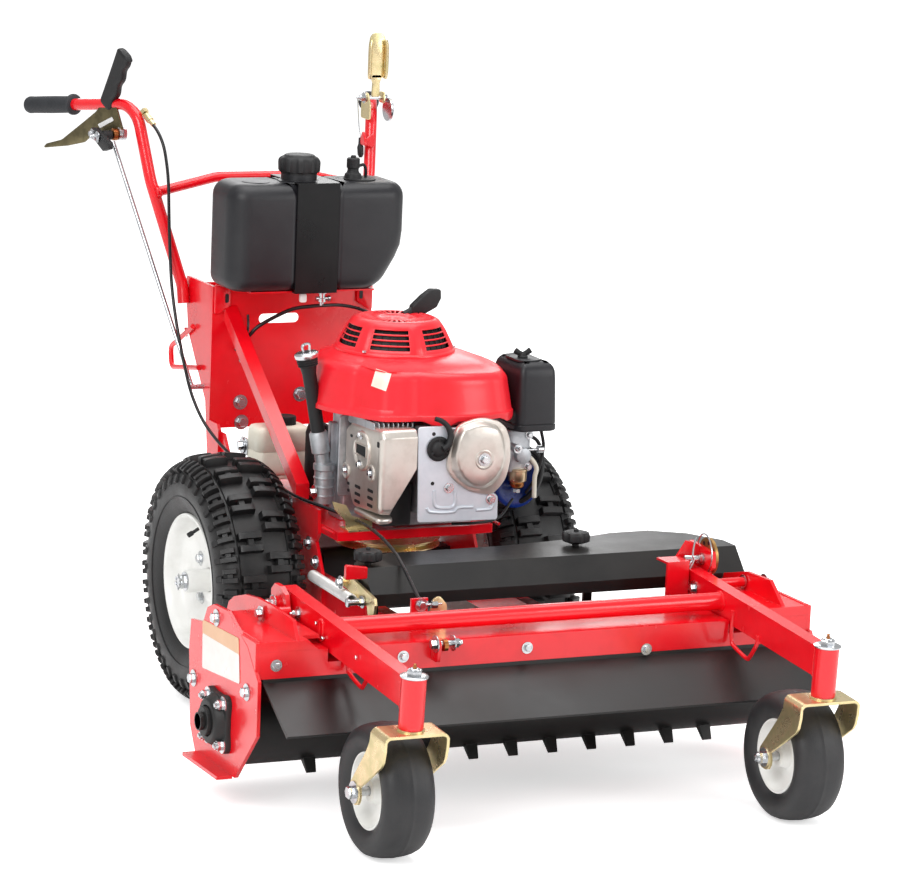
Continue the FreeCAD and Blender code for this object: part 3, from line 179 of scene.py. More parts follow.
# %% One recipe for every finish
def finish(name, colour, other=None, metal=0.0, rough=0.4, drift=0.06, patch_mm=60, grain_mm=1.2,
           relief=0.05, coat=0.0, edge_mm=0.0, ior=1.5, blotch=(0.42, 0.62)):
    """A surface: base colour mixed towards another by soft noise, roughness
    that drifts with the same noise, and a fine bump of the given grain."""
    material = bpy.data.materials.new(name)
    material.use_nodes = True
    tree = material.node_tree
    tree.nodes.clear()
    place = add(tree, "ShaderNodeTexCoord").outputs["Object"]
    patches = add(tree, "ShaderNodeTexNoise",
                  {"Vector": place, "Scale": 1000 / patch_mm, "Detail": 4.0, "Roughness": 0.6})
    spread = add(tree, "ShaderNodeMapRange",
                 {"Value": patches.outputs["Fac"], "From Min": blotch[0], "From Max": blotch[1]})
    mixed = add(tree, "ShaderNodeMix", {"Factor": spread.outputs[0]}, data_type="RGBA")
    mixed.inputs["A"].default_value = linear(colour)
    mixed.inputs["B"].default_value = linear(other or colour)
    gloss = add(tree, "ShaderNodeMapRange",
                {"Value": patches.outputs["Fac"], "From Min": 0.3, "From Max": 0.7,
                 "To Min": max(rough - drift, 0.02), "To Max": rough + drift})
    fine = add(tree, "ShaderNodeTexNoise", {"Vector": place, "Scale": 1000 / grain_mm,
                                            "Detail": 2.0})
    bump = add(tree, "ShaderNodeBump",
               {"Height": fine.outputs["Fac"], "Strength": relief, "Distance": grain_mm / 1000})
    if edge_mm:
        rounded = add(tree, "ShaderNodeBevel", {"Radius": edge_mm / 1000}, samples=4)
        tree.links.new(rounded.outputs[0], bump.inputs["Normal"])
    shader = add(tree, "ShaderNodeBsdfPrincipled",
                 {"Base Color": mixed.outputs["Result"], "Roughness": gloss.outputs[0],
                  "Metallic": metal, "Normal": bump.outputs[0]})
    if not metal:
        shader.inputs["IOR"].default_value = ior
    shader.inputs["Coat Weight"].default_value = coat
    shader.inputs["Coat Roughness"].default_value = 0.12
    add(tree, "ShaderNodeOutputMaterial", {"Surface": shader.outputs[0]})
    return material


# %% [markdown]
# Paint on this machine is powder coat on the frame and enamel on the wheels.
# An image of a painted surface could be wrapped on, but it would stretch on
# every new shape. Noise in space costs nothing and fits any piece.

# %% The paints
# Powder coat, baked on steel: thick and glossy, with a faint orange peel about
# 2 mm wide under a clear shine, so panels glow red and edges catch light.
red_coat = finish("red_powder_coat", "#EE0A1C", "#E40819", rough=0.24, drift=0.04, grain_mm=2.2,
                  relief=0.08, coat=0.5, edge_mm=1.2)
# Satin black powder coat on the hood and the covers: broad soft highlights,
# and dust that makes it a little brown in places.
black_coat = finish("black_powder_coat", "#0E0C0C", "#171412", rough=0.38, drift=0.08, grain_mm=1.6,
                    relief=0.12, patch_mm=140, edge_mm=1.0)
# Wheel enamel: sprayed thin, cleaner and flatter than powder, a near white
# whose highlight is small because the film is smooth.
white_coat = finish("white_enamel", "#EFEFEC", "#E4E4E0", rough=0.33, grain_mm=2.0, relief=0.05)
print("paints:", red_coat.name, black_coat.name, white_coat.name)

# %% [markdown]
# Bare and plated metals differ in hue and in how far a highlight spreads. We
# give each one a base colour and its own patch size, and let the shader do
# the mirror part.

# %% The metals
# Yellow zinc plate: a metal mirror under a thin chromate film, so its hue
# wanders between straw, green and pink over a few centimetres.
yellow_zinc = finish("yellow_zinc_plate", "#EAD5A6", "#D9CB98", metal=0.9, rough=0.3, drift=0.08,
                     patch_mm=28, grain_mm=0.8, relief=0.08, edge_mm=0.8)
# The same plate passivated darker: the eye reads dull brass with a green cast.
olive_zinc = finish("dark_zinc_plate", "#7D7355", "#665E45", metal=0.9, rough=0.4, patch_mm=25,
                    grain_mm=0.8, relief=0.1, edge_mm=0.6)
# Clear zinc plate on fasteners: small sharp glints, slightly blue.
bright_zinc = finish("bright_zinc_plate", "#D4D6D8", "#BFC2C6", metal=1.0, rough=0.24, patch_mm=15,
                     grain_mm=0.7, relief=0.06)
# Painted sand casting: a coarse grain breaks up every highlight.
black_iron = finish("black_casting", "#151515", "#202020", rough=0.5, grain_mm=1.4, relief=0.35,
                    edge_mm=1.2)
# Die-cast aluminium: pale grey, grainy, shining softly all over.
cast_alloy = finish("cast_aluminium", "#C6C9CD", "#AEB2B6", metal=0.85, rough=0.46, patch_mm=30,
                    grain_mm=1.0, relief=0.35, edge_mm=1.2)
# Pressed steel with a warm heat-resistant wash: satin, slightly cream.
pressed_steel = finish("pressed_steel", "#DDD6CE", "#CFC7BE", metal=0.85, rough=0.36, patch_mm=45,
                       grain_mm=0.9, relief=0.12, edge_mm=1.5)
# Copper plate on bushes and fittings: the one warm pink metal.
copper = finish("copper_plate", "#B87A4B", "#9C6238", metal=1.0, rough=0.3, grain_mm=0.7,
                relief=0.06)
print("metals:", yellow_zinc.name, bright_zinc.name, cast_alloy.name)

# %% [markdown]
# Moulded skins copy the mould: grained ones scatter light and polished ones
# hold it. The bump's grain and the roughness say which is which.

# %% The plastics and the rubbers
# Moulded red plastic: lighter than the paint, with a soft even sheen.
red_plastic = finish("red_moulded_plastic", "#F2202E", "#EA1926", rough=0.34, drift=0.04,
                     grain_mm=1.0, relief=0.06, coat=0.15, edge_mm=1.5)
# Black polyethylene with a moulded grain: highlights spread wide.
black_plastic = finish("black_moulded_plastic", "#15151A", "#1C1C20", rough=0.42, grain_mm=0.9,
                       relief=0.22, edge_mm=1.5)
# Glass-filled nylon for knobs and caps: nearly no shine.
matt_plastic = finish("matt_black_plastic", "#0F0F11", "#171719", rough=0.55, grain_mm=0.9,
                      relief=0.25, edge_mm=0.8)
# Natural polyethylene: cream and waxy.
milky_plastic = finish("milky_polyethylene", "#EFEADB", "#E4DDCB", rough=0.45, grain_mm=1.0,
                       relief=0.1, edge_mm=2.0)
# Rubbers: grips are greyer from handling, the lugged tyre is darkest and has
# some shine on its bars, and the smooth tyre is dusty.
grip_rubber = finish("grip_rubber", "#232529", "#2B2D31", rough=0.62, grain_mm=0.8, relief=0.3)
tyre_rubber = finish("tyre_rubber", "#151516", "#1F1D1D", rough=0.4, drift=0.1, patch_mm=35,
                     grain_mm=1.1, relief=0.4)
smooth_rubber = finish("smooth_tyre_rubber", "#232325", "#2D2C2D", rough=0.5, drift=0.08,
                       patch_mm=50, grain_mm=1.1, relief=0.22)
# Extruded vinyl round the cables: smooth, so it keeps one long highlight.
jacket = finish("cable_jacket", "#101012", "#17171A", rough=0.3, grain_mm=0.8, relief=0.05)
print("finishes:", len(bpy.data.materials))

# %% [markdown]
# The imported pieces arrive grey. A table from finish to node names is easier
# to read and to check than fifty separate lines.

# %% Dress the CAD pieces
coats = {
    red_coat: "frame_side_left frame_side_right deck tower tower_brace handlebar_left "
              "handlebar_right handle_crossbar head_beam end_plate_left end_plate_right "
              "pivot_mount_left pivot_mount_right caster_arm_left caster_arm_right cross_tube "
              "index_bracket cable_anchor",
    black_coat: "head_hood deflector belt_cover rake_drum tank_strap",
    white_coat: "drive_rim_left drive_rim_right caster_rim_left caster_rim_right",
    tyre_rubber: "drive_tyre_left drive_tyre_right",
    smooth_rubber: "caster_tyre_left caster_tyre_right",
    yellow_zinc: "caster_fork_left caster_fork_right drive_pulley cable_bracket spring_lever "
                 "lever_left index_disc",
    olive_zinc: "lever_right",
    bright_zinc: "lift_spring control_rod",
    black_iron: "bearing_left bearing_right transaxle",
    cast_alloy: "engine_block valve_cover carburettor",
    pressed_steel: "muffler",
    red_plastic: "engine_shroud fan_cover",
    black_plastic: "fuel_tank air_cleaner",
    matt_plastic: "fuel_cap recoil_grip oil_filler",
    milky_plastic: "oil_reservoir",
    grip_rubber: "grip_left grip_right",
    jacket: "cable_main cable_clutch",
}
for coat, names in coats.items():
    for name in names.split():
        mesh = nodes[name].data
        mesh.materials.clear()
        mesh.materials.append(coat)
print("dressed:", sum(len(names.split()) for names in coats.values()), "of", len(nodes))

# %% [markdown]
# ## Shape tools
# Everything new is a surface worked out with numpy. A stack of closed loops
# joined ring to ring makes nearly all of it: a turned part is a stack of
# circles, a tube is a stack of circles along a path, and a moulded box is a
# stack of rounded rectangles. Lists of such shells become one mesh.

# %% Loops, shells and pieces
sides = ((-1, "right"), (1, "left"))      # the operator's right is towards -x


def shell(loops, close=True, ring=False):
    """Quads between neighbouring loops (m loops of n points each). With close
    the first and last loops are filled, with ring the last joins the first."""
    loops = np.asarray(loops, float)
    m, n = loops.shape[:2]
    i, j = np.meshgrid(np.arange(m if ring else m - 1), np.arange(n), indexing="ij")
    k, l = (i + 1) % m, (j + 1) % n
    quads = np.stack([i * n + j, i * n + l, k * n + l, k * n + j], -1).reshape(-1, 4).tolist()
    if close and not ring:
        quads.append(list(range(n - 1, -1, -1)))
        quads.append(list(range((m - 1) * n, m * n)))
    return loops.reshape(-1, 3), quads


def axes(direction):
    """Three unit vectors, the last along the direction, the first level if it can be."""
    w = np.asarray(direction, float)
    w = w / np.linalg.norm(w)
    u = np.cross([0.0, 0.0, 1.0], w) if abs(w[2]) < 0.999 else np.array([1.0, 0.0, 0.0])
    u = u / np.linalg.norm(u)
    return u, np.cross(w, u), w


def once_round(count):
    """Even angles once round: number over count, times two pi."""
    return np.linspace(0, 2 * np.pi, count, endpoint=False)


def turned(profile, place, direction, count=32, close=True):
    """A turned part: each profile entry is a distance along the axis and a
    radius, and every entry becomes one circle. Distances grow along the axis."""
    u, v, w = axes(direction)
    angle = once_round(count)
    round_ = np.cos(angle)[:, None] * u + np.sin(angle)[:, None] * v
    loops = [np.asarray(place) + s * w + r * round_ for s, r in profile]
    return shell(loops, close)


def smooth_path(keys, count):
    """Evenly spaced points on a Catmull-Rom curve through the keys."""
    keys = np.asarray(keys, float)
    keys = np.vstack([2 * keys[0] - keys[1], keys, 2 * keys[-1] - keys[-2]])
    u = np.linspace(0, 1, 40, endpoint=False)[:, None]
    bits = [0.5 * (2 * b + (c - a) * u + (2 * a - 5 * b + 4 * c - d) * u ** 2
                   + (3 * b - a - 3 * c + d) * u ** 3)
            for a, b, c, d in zip(keys, keys[1:], keys[2:], keys[3:])]
    fine = np.vstack(bits + [keys[-2:-1]])
    along = np.concatenate([[0], np.cumsum(np.linalg.norm(np.diff(fine, axis=0), axis=1))])
    want = np.linspace(0, along[-1], count)
    return np.stack([np.interp(want, along, fine[:, k]) for k in range(3)], 1)


def swept(path, section, close=True, start=None, ring=False, scale=None):
    """A section (points across and up, in millimetres) carried along a path
    without twist. With start the section's first axis begins along it."""
    path = np.asarray(path, float)
    ahead = np.gradient(path, axis=0)
    if ring:
        ahead = np.roll(path, -1, axis=0) - np.roll(path, 1, axis=0)
    ahead /= np.linalg.norm(ahead, axis=1)[:, None]
    u = axes(ahead[0])[0] if start is None else np.asarray(start, float)
    section = np.asarray(section, float)
    loops = []
    for i, (point, w) in enumerate(zip(path, ahead)):
        u = u - (u @ w) * w
        u = u / np.linalg.norm(u)
        size = 1.0 if scale is None else scale[i]
        loops.append(point + size * (section[:, :1] * u + section[:, 1:] * np.cross(w, u)))
    return shell(loops, close, ring)


def circle(radius, count=12):
    """Points of a circle, anticlockwise."""
    angle = once_round(count)
    return radius * np.stack([np.cos(angle), np.sin(angle)], 1)


def rounded(corners, radii, steps=6):
    """A closed outline with each corner replaced by an arc: the arc touches
    both sides at radius over the tangent of half the corner's angle."""
    corners = np.asarray(corners, float)
    radii = np.broadcast_to(radii, len(corners))
    out = []
    for before, here, after, radius in zip(np.roll(corners, 1, 0), corners, np.roll(corners, -1, 0),
                                           radii):
        a, b = before - here, after - here
        room = min(np.linalg.norm(a), np.linalg.norm(b)) * 0.499
        a, b = a / np.linalg.norm(a), b / np.linalg.norm(b)
        half = math.acos(np.clip(a @ b, -1, 1)) / 2
        reach = min(radius / math.tan(half), room)
        size = reach * math.tan(half)
        centre = here + (a + b) / np.linalg.norm(a + b) * math.hypot(reach, size)
        first, last = here + a * reach - centre, here + b * reach - centre
        swing = math.pi - 2 * half
        sign = 1 if first[0] * last[1] - first[1] * last[0] > 0 else -1
        for t in np.linspace(0, swing, steps) * sign:
            c, s = math.cos(t), math.sin(t)
            out.append(centre + [c * first[0] - s * first[1], s * first[0] + c * first[1]])
    return np.array(out)


def oblong(low, high, radii, steps=6):
    """A rectangle from its low corner to its high corner, anticlockwise, rounded."""
    return rounded([low, (high[0], low[1]), high, (low[0], high[1])], radii, steps)


def inset(outline, distance):
    """Each point moved inwards, at right angles to the line through its
    neighbours, whichever way round the outline runs."""
    after, before = np.roll(outline, -1, 0), np.roll(outline, 1, 0)
    ahead = after - before
    ahead /= np.linalg.norm(ahead, axis=1)[:, None] + 1e-12
    turns = np.sign((outline[:, 0] * after[:, 1] - outline[:, 1] * after[:, 0]).sum())
    return outline + turns * distance * np.stack([-ahead[:, 1], ahead[:, 0]], 1)


def placed(outline, height, plane="z"):
    """A flat outline put at a height: plane z uses (x, y), y uses (x, z), x uses (y, z)."""
    flat = np.full(len(outline), float(height))
    a, b = outline[:, 0], outline[:, 1]
    return np.stack({"z": (a, b, flat), "y": (a, flat, b), "x": (flat, a, b)}[plane], 1)


def level_ring(x, y, z, radii, angle):
    """A level loop round x, y at height z: radius times cosine and sine of the angle."""
    return np.column_stack([x + radii * np.cos(angle), y + radii * np.sin(angle),
                            np.full(len(angle), z)])


def slab(outline, low, high, plane="z", edge=1.0, steps=3):
    """A plate or block between two heights whose rims are quarter-round."""
    turn_ = np.linspace(0, np.pi / 2, steps + 1)
    ends = [(low + edge * (1 - math.sin(t)), edge * (1 - math.cos(t))) for t in turn_[::-1]]
    ends += [(high - edge * (1 - math.sin(t)), edge * (1 - math.cos(t))) for t in turn_]
    return shell([placed(inset(outline, d), h, plane) for h, d in ends])


made = []


def piece(name, shells, material, body="chassis", hides=(), smooth=40):
    """One mesh from shells in machine millimetres: metres are millimetres over
    1000, moved back by the frame's shift. It is shaded smooth below an angle,
    rides on a body, and may stand for CAD nodes."""
    points, faces, count = [], [], 0
    for cloud, quads in shells:
        points.append(cloud)
        faces += [[i + count for i in quad] for quad in quads]
        count += len(cloud)
    cloud = np.vstack(points) / 1000
    cloud[:, 1] += shift
    mesh = bpy.data.meshes.new(name)
    mesh.from_pydata(cloud.tolist(), [], faces)
    mesh.validate()
    work = bmesh.new()
    work.from_mesh(mesh)
    bmesh.ops.recalc_face_normals(work, faces=work.faces)
    work.to_mesh(mesh)
    work.free()
    mesh.materials.append(material)
    mesh.shade_smooth()
    mesh.set_sharp_from_angle(angle=math.radians(smooth))
    thing = bpy.data.objects.new(name, mesh)
    bpy.context.scene.collection.objects.link(thing)
    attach(thing, body)
    if hides:
        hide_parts(*hides)
    made.append(thing)
    return thing


def tell(step):
    """Prints how many pieces there are and how many faces the last one has."""
    print(step + ":", len(made), "pieces, the last with", len(made[-1].data.polygons), "faces")


print("tools ready")

# %% [markdown]
# ## Fasteners
# Bolts make a welded machine believable. A hexagon head has a washer under
# it and a chamfer on top, and a lock nut also shows the bolt's domed end.
# Each is only a few rings, because there are dozens of them.

# %% Bolts and nuts
def bolt(place, direction, flats=13.0, washer=True):
    """Washer, chamfered hexagon head and flat top, standing on a point."""
    r = flats / 2 / math.cos(math.pi / 6)
    parts = [turned([(1.6, r * 0.93), (1.6 + flats * 0.44, r), (1.6 + flats * 0.54, r * 0.86)],
                    place, direction, 6)]
    if washer:
        parts.append(turned([(0, flats * 0.95), (1.6, flats * 0.95)], place, direction, 16))
    return parts


def nut(place, direction, flats=13.0, tail=4.0):
    """Washer, nut with a round collar, and the bolt's end standing out of it."""
    r = flats / 2 / math.cos(math.pi / 6)
    return [turned([(0, flats * 0.9), (1.5, flats * 0.9)], place, direction, 16),
            turned([(1.5, r * 0.95), (1.5 + flats * 0.55, r)], place, direction, 6),
            turned([(1.5 + flats * 0.55, flats * 0.46), (1.5 + flats * 0.78, flats * 0.40)], place,
                   direction, 14), turned([(1.5 + flats * 0.7, flats * 0.27),
                                           (1.5 + flats * 0.78 + tail, flats * 0.27),
                                           (2.5 + flats * 0.78 + tail, flats * 0.2)], place,
                                          direction, 10)]


def bead(path, radius=2.6):
    """A weld: a thin round bead whose width ripples as the pool did."""
    path = smooth_path(path, max(8, int(np.linalg.norm(np.diff(np.asarray(path, float), axis=0),
                                                       axis=1).sum() / 2.2)))
    return swept(path, circle(radius, 6), scale=1 + 0.16 * np.sin(np.arange(len(path)) * 2.1))


print("one bolt has", sum(len(f) for _, f in bolt((0, 0, 0), (0, 0, 1))), "faces")

# %% [markdown]
# ## Drive wheels
# The drive tyre is a low-pressure lugged tyre: a smooth carcass with short
# bars moulded on it in pairs, two staggered rows in the middle and one row on
# each shoulder. We turn the carcass from a profile, then wrap every bar onto
# the same profile, so its foot follows the tyre's crown.

# %% Carcass profile
hub_x, hub_z = 267.0, 224.0      # the wheel's middle, in machine millimetres
crown_r = 211.0                  # radius of the bare carcass at its crown
pitches = 18                     # lug pitches round the tyre
crown = np.array([(-50, 116), (-62, 121), (-72, 136), (-78, 158), (-77, 176), (-70, 192),
                  (-58, 202), (-40, 208), (-20, 210.5), (0, 211), (20, 210.5), (40, 208), (58, 202),
                  (70, 192), (77, 176), (78, 158), (72, 136), (62, 121), (50, 116)], float)
crown = smooth_path(np.column_stack([crown, np.zeros(len(crown))]), 61)[:, :2]


def on_tyre(across, along, height):
    """Where a point lies on the tyre: across and along in millimetres over
    the carcass from the crown's middle, height along its outward normal."""
    run = np.concatenate([[0], np.cumsum(np.linalg.norm(np.diff(crown, axis=0), axis=1))])
    run -= run[-1] / 2
    x, r = np.interp(across, run, crown[:, 0]), np.interp(across, run, crown[:, 1])
    slope = np.gradient(crown, run, axis=0)
    nx, nr = -np.interp(across, run, slope[:, 1]), np.interp(across, run, slope[:, 0])
    size = np.hypot(nx, nr)
    x, r = x + height * nx / size, r + height * nr / size
    angle = along / crown_r
    return np.stack([x, r * np.sin(angle), hub_z + r * np.cos(angle)], -1)


def lug(across, along, wide, long, height):
    """A bar standing on the carcass: three stacked rectangles, the top one
    smaller, each bent to the tyre by four steps across."""
    s = np.linspace(-0.5, 0.5, 5)
    ring = np.array([(a, -0.5) for a in s] + [(a, 0.5) for a in s[::-1]])
    loops = []
    for level, shrink in ((-2.0, 1.12), (height - 1.2, 1.0), (height, 0.88)):
        loops.append(on_tyre(across + ring[:, 0] * wide * shrink,
                             along + ring[:, 1] * long * shrink, np.full(len(ring), level)))
    return shell(loops)


# %% [markdown]
# Eighteen pitches go round the tyre. Bars could be cut from a solid ring, but
# standing each one on the carcass keeps its foot on the curve and its faces
# few.

# %% One tyre, mirrored for the other side
def drive_tyre():
    """Carcass rings plus four rows of paired bars."""
    x, r = crown[:, 0], crown[:, 1]
    inside = np.array([(44, 117), (20, 119), (-20, 119), (-44, 117)], float)
    profile = np.vstack([np.column_stack([x, r]), inside])
    angle = once_round(120)
    loops = np.stack([np.column_stack([np.full(120, a), b * np.sin(angle),
                                       hub_z + b * np.cos(angle)]) for a, b in profile])
    parts = [shell(loops, close=False, ring=True)]
    pitch = 2 * np.pi * crown_r / pitches
    for k in range(pitches):
        for row, step in ((-24, 0.0), (24, 0.5)):
            here = (k + step) * pitch
            parts += [lug(row, here - 11, 38, 12, 14.5), lug(row, here + 11, 38, 12, 14.5),
                      lug(row, here, 11, 16, 10.5)]
        for side in (-1, 1):
            for step in (0.25, 0.75):
                here = (k + step) * pitch + (0 if side < 0 else pitch / 4)
                parts += [lug(side * 63, here - 8, 24, 9, 11), lug(side * 63, here + 8, 20, 9, 11),
                          lug(side * 63, here, 9, 12, 8), lug(side * 86, here - 5, 15, 12, 4.0)]
    for at in (-46, 46):
        parts.append(turned([(at - 1.2, 207), (at, 209.2), (at + 1.2, 207)], (0, 0, hub_z),
                            (1, 0, 0), 120, close=False))
    for at in (-118, 118):
        ring = on_tyre(np.full(90, float(at)),
                       np.linspace(0, 2 * np.pi * crown_r, 90, endpoint=False), np.zeros(90))
        parts.append(swept(ring, circle(1.6, 6), ring=True))
    return parts


def shifted(shells, by):
    """The same shells moved by a vector."""
    return [(cloud + np.asarray(by, float), quads) for cloud, quads in shells]


rubber = drive_tyre()
for side, word in sides:
    piece("lugged_tyre_" + word, shifted(rubber, (side * hub_x, 0, 0)), tyre_rubber,
          "drive_wheel_" + word, ["drive_tyre_" + word])
print("tyre faces:", len(made[0].data.polygons))

# %% [markdown]
# The rim is two pressed dishes of sheet steel in white enamel. Its flange
# rolls outwards over the bead of the tyre, the bowl falls to a flat face, and
# the hub tube stands in the middle with a castle nut on the axle's end.

# %% Rims with hub, nut and lug bolts
def drive_rim(side):
    """A thin-walled bowl: the profile goes in along the show face and back."""
    s = side
    show = [(60, 118), (63, 121), (66, 120), (66.5, 116.5), (62, 112), (50, 109.5), (40, 108),
            (34, 104), (28, 96), (24, 84), (22, 70), (21.5, 55), (23, 44), (26, 40), (26.5, 34),
            (26, 22)]
    rear = [(20, 22), (18, 46), (16, 72), (18, 92), (24, 104), (12, 111), (0, 112.5), (-40, 112.5),
            (-52, 112.5), (-56, 118), (-60, 120.5), (-64, 118), (-62, 115), (-54, 114.8), (0, 115),
            (44, 115), (58, 117)]
    profile = [(a * s, r) for a, r in show + rear]
    u, v, w = axes((1, 0, 0))
    angle = once_round(72)
    ring = np.cos(angle)[:, None] * u + np.sin(angle)[:, None] * v
    centre = np.array([s * hub_x, 0, hub_z])
    loops = [centre + a * w + r * ring for a, r in profile]
    tube = turned([(-66, 18), (-66, 20.5), (66, 20.5), (70, 19), (70, 15)], centre, (s, 0, 0), 32)
    return [shell(loops, close=False, ring=True), tube]


def hub_nut(side):
    """Washer, castle nut with six slots, cotter pin and the axle's end."""
    s, centre = side, np.array([side * hub_x, 0, hub_z])
    at = lambda d: centre + [s * d, 0, 0]
    parts = [turned([(0, 17), (2.5, 17)], at(70), (s, 0, 0), 24)]
    parts.append(turned([(0, 12.5), (9, 13.2), (10, 12.4)], at(72), (s, 0, 0), 6))
    for k in range(6):
        a = (k + 0.5) * math.pi / 3
        tooth = at(82) + 9.3 * np.array([0, math.cos(a), math.sin(a)])
        parts.append(turned([(-0.5, 3.6), (4.0, 3.4)], tooth, (s, 0, 0), 8))
    parts.append(turned([(0, 9.5), (12.4, 9.5), (13.0, 8.4)], at(72), (s, 0, 0), 20))
    cotter = [at(83.5) + [0, 0, z] for z in (-15, 15)]
    parts.append(swept(smooth_path(cotter, 4), circle(1.4, 6)))
    for k in range(5):
        a = k * 2 * math.pi / 5 + 0.5
        parts += bolt(centre + [s * 21.5, 58 * math.cos(a), 58 * math.sin(a)], (s, 0, 0), 14)
        parts += nut(centre + [s * 17.5, 58 * math.cos(a), 58 * math.sin(a)], (-s, 0, 0), 14)
    return parts


for side, word in sides:
    piece("rim_" + word, drive_rim(side), white_coat, "drive_wheel_" + word,
          ["drive_rim_" + word], 50)
    piece("hub_nut_" + word, hub_nut(side), bright_zinc, "drive_wheel_" + word, smooth=35)
    valve = turned([(0, 4), (10, 4), (11, 3), (24, 3), (25, 4.5), (34, 4.5), (35, 3.5)],
                   (side * (hub_x + 38), 0, hub_z + 100), (side * 0.85, 0, -0.5), 14)
    piece("air_valve_" + word, [valve], matt_plastic, "drive_wheel_" + word)
print("wheel pieces:", len(made))

# %% [markdown]
# ## Caster wheels
# Each caster has a smooth semi-pneumatic tyre with one moulding seam, a white
# rim, and a fork folded from yellow zinc-plated strip: a crown, two ears bent
# down, and two legs that slant back to the axle.

# %% Caster tyre and rim
caster_x, caster_y, caster_z = 364.0, -957.0, 107.1


def caster_tyre(side):
    """Turned from a rounded profile with a fine seam at the crown."""
    half = [(28, 60), (34, 63), (40, 72), (43, 84), (41.5, 94), (36, 100.5), (27, 104.2),
            (16, 106.2), (8, 106.8), (2.2, 107), (1.2, 107.4)]
    profile = np.array([(-a, r) for a, r in half] + [(a, r) for a, r in half[::-1]]
                       + [(20, 61), (-20, 61)])
    angle = once_round(96)
    centre = np.array([side * caster_x, caster_y, caster_z])
    loops = [centre + np.column_stack([np.full(96, a), r * np.sin(angle), r * np.cos(angle)])
             for a, r in profile]
    groove = [turned([(at - 0.8, 105.4), (at, 106.5 - abs(at) * 0.06), (at + 0.8, 105.4)], centre,
                     (1, 0, 0), 96, close=False) for at in (-20, 20)]
    return [shell(loops, close=False, ring=True)] + groove


def caster_rim(side):
    """Bowl on both faces and a hub boss in the middle."""
    half = [(30, 60), (32, 62), (34, 61.5), (34, 58.5), (31, 57), (24, 55), (18, 48), (15, 38),
            (14, 28), (16, 22), (24, 19), (29, 18), (30, 16), (30, 8)]
    profile = np.array([(a, r) for a, r in half] + [(-a, r) for a, r in half[::-1]])
    angle = once_round(64)
    centre = np.array([side * caster_x, caster_y, caster_z])
    loops = [centre + np.column_stack([np.full(64, a), r * np.sin(angle), r * np.cos(angle)])
             for a, r in profile]
    return [shell(loops, close=False, ring=True)]


for side, word in sides:
    body = "caster_wheel_" + word
    piece("caster_tyre_" + word + "_moulded", caster_tyre(side), smooth_rubber, body,
          ["caster_tyre_" + word], 50)
    piece("caster_rim_" + word + "_pressed", caster_rim(side), white_coat, body,
          ["caster_rim_" + word], 50)
tell("caster tyre and rim")

# %% [markdown]
# The two caster arms are hinged to the machine, so everything on them is
# worked out square and then tipped by the arms' slope about the hinge line.

# %% [markdown]
# The fork is one folded strip. Folding a flat sheet with modifiers would hide
# its sizes, so we follow the strip's middle line and give it a front edge, a
# back edge and a thickness at each station.

# %% Forks, caps and axle bolts
arm_x, hinge_y, hinge_z, slope = 364.0, -552.0, 314.0, math.radians(3.7)
stem_y, axle_low = -492.5, -180.3      # the caster's stem and its axle, seen from the hinge


def tipped(shells):
    """Shells drawn along level arms, turned about the hinge by the arms' slope."""
    c, s = math.cos(slope), math.sin(slope)
    return [(np.column_stack([p[:, 0], hinge_y + c * p[:, 1] - s * p[:, 2],
                              hinge_z + s * p[:, 1] + c * p[:, 2]]), q) for p, q in shells]


def fork(side):
    """A strip followed from one leg's foot over the crown to the other: at each
    station the strip has a front edge, a back edge and a thickness of 5 mm."""
    x, y, top, low = side * arm_x, stem_y, -57.6, axle_low
    heel = y + 75
    edge = np.array([(low - 19, heel - 7, heel + 7), (low - 16, heel - 15, heel + 13),
                     (low - 8, heel - 20, heel + 18), (low, heel - 21, heel + 19),
                     (low + 12, heel - 17, heel + 17), (top - 52, y - 18, y + 47),
                     (top - 42, y - 24, y + 40), (top - 24, y - 28, y + 30),
                     (top - 9, y - 28, y + 28)])
    path = [(-52.5, *row) for row in edge]
    for a in np.linspace(0, math.pi / 2, 5)[1:]:
        path.append((-52.5 + 9 * (1 - math.cos(a)), top - 11.5 + 9 * math.sin(a), y - 28, y + 28))
    path += [(-path_x, *rest) for path_x, *rest in path[::-1]]
    path = np.array(path)
    ahead = np.gradient(path[:, :2], axis=0)
    ahead /= np.linalg.norm(ahead, axis=1)[:, None]
    normal = np.column_stack([-ahead[:, 1], ahead[:, 0]])
    loops = []
    for (u, z, front, back_), (nx, nz) in zip(path, normal):
        ring = []
        for off, pull in ((2.5, 0.8), (2.0, 0.0), (-2.0, 0.0), (-2.5, 0.8)):
            ring.append((x + u + nx * off, front + pull, z + nz * off))
        for off, pull in ((-2.5, 0.8), (-2.0, 0.0), (2.0, 0.0), (2.5, 0.8)):
            ring.append((x + u + nx * off, back_ - pull, z + nz * off))
        loops.append(ring)
    rest = turned([(0, 22), (2.6, 22), (3, 21)], (x, y, top), (0, 0, 1), 32)
    return tipped([shell(loops), rest])


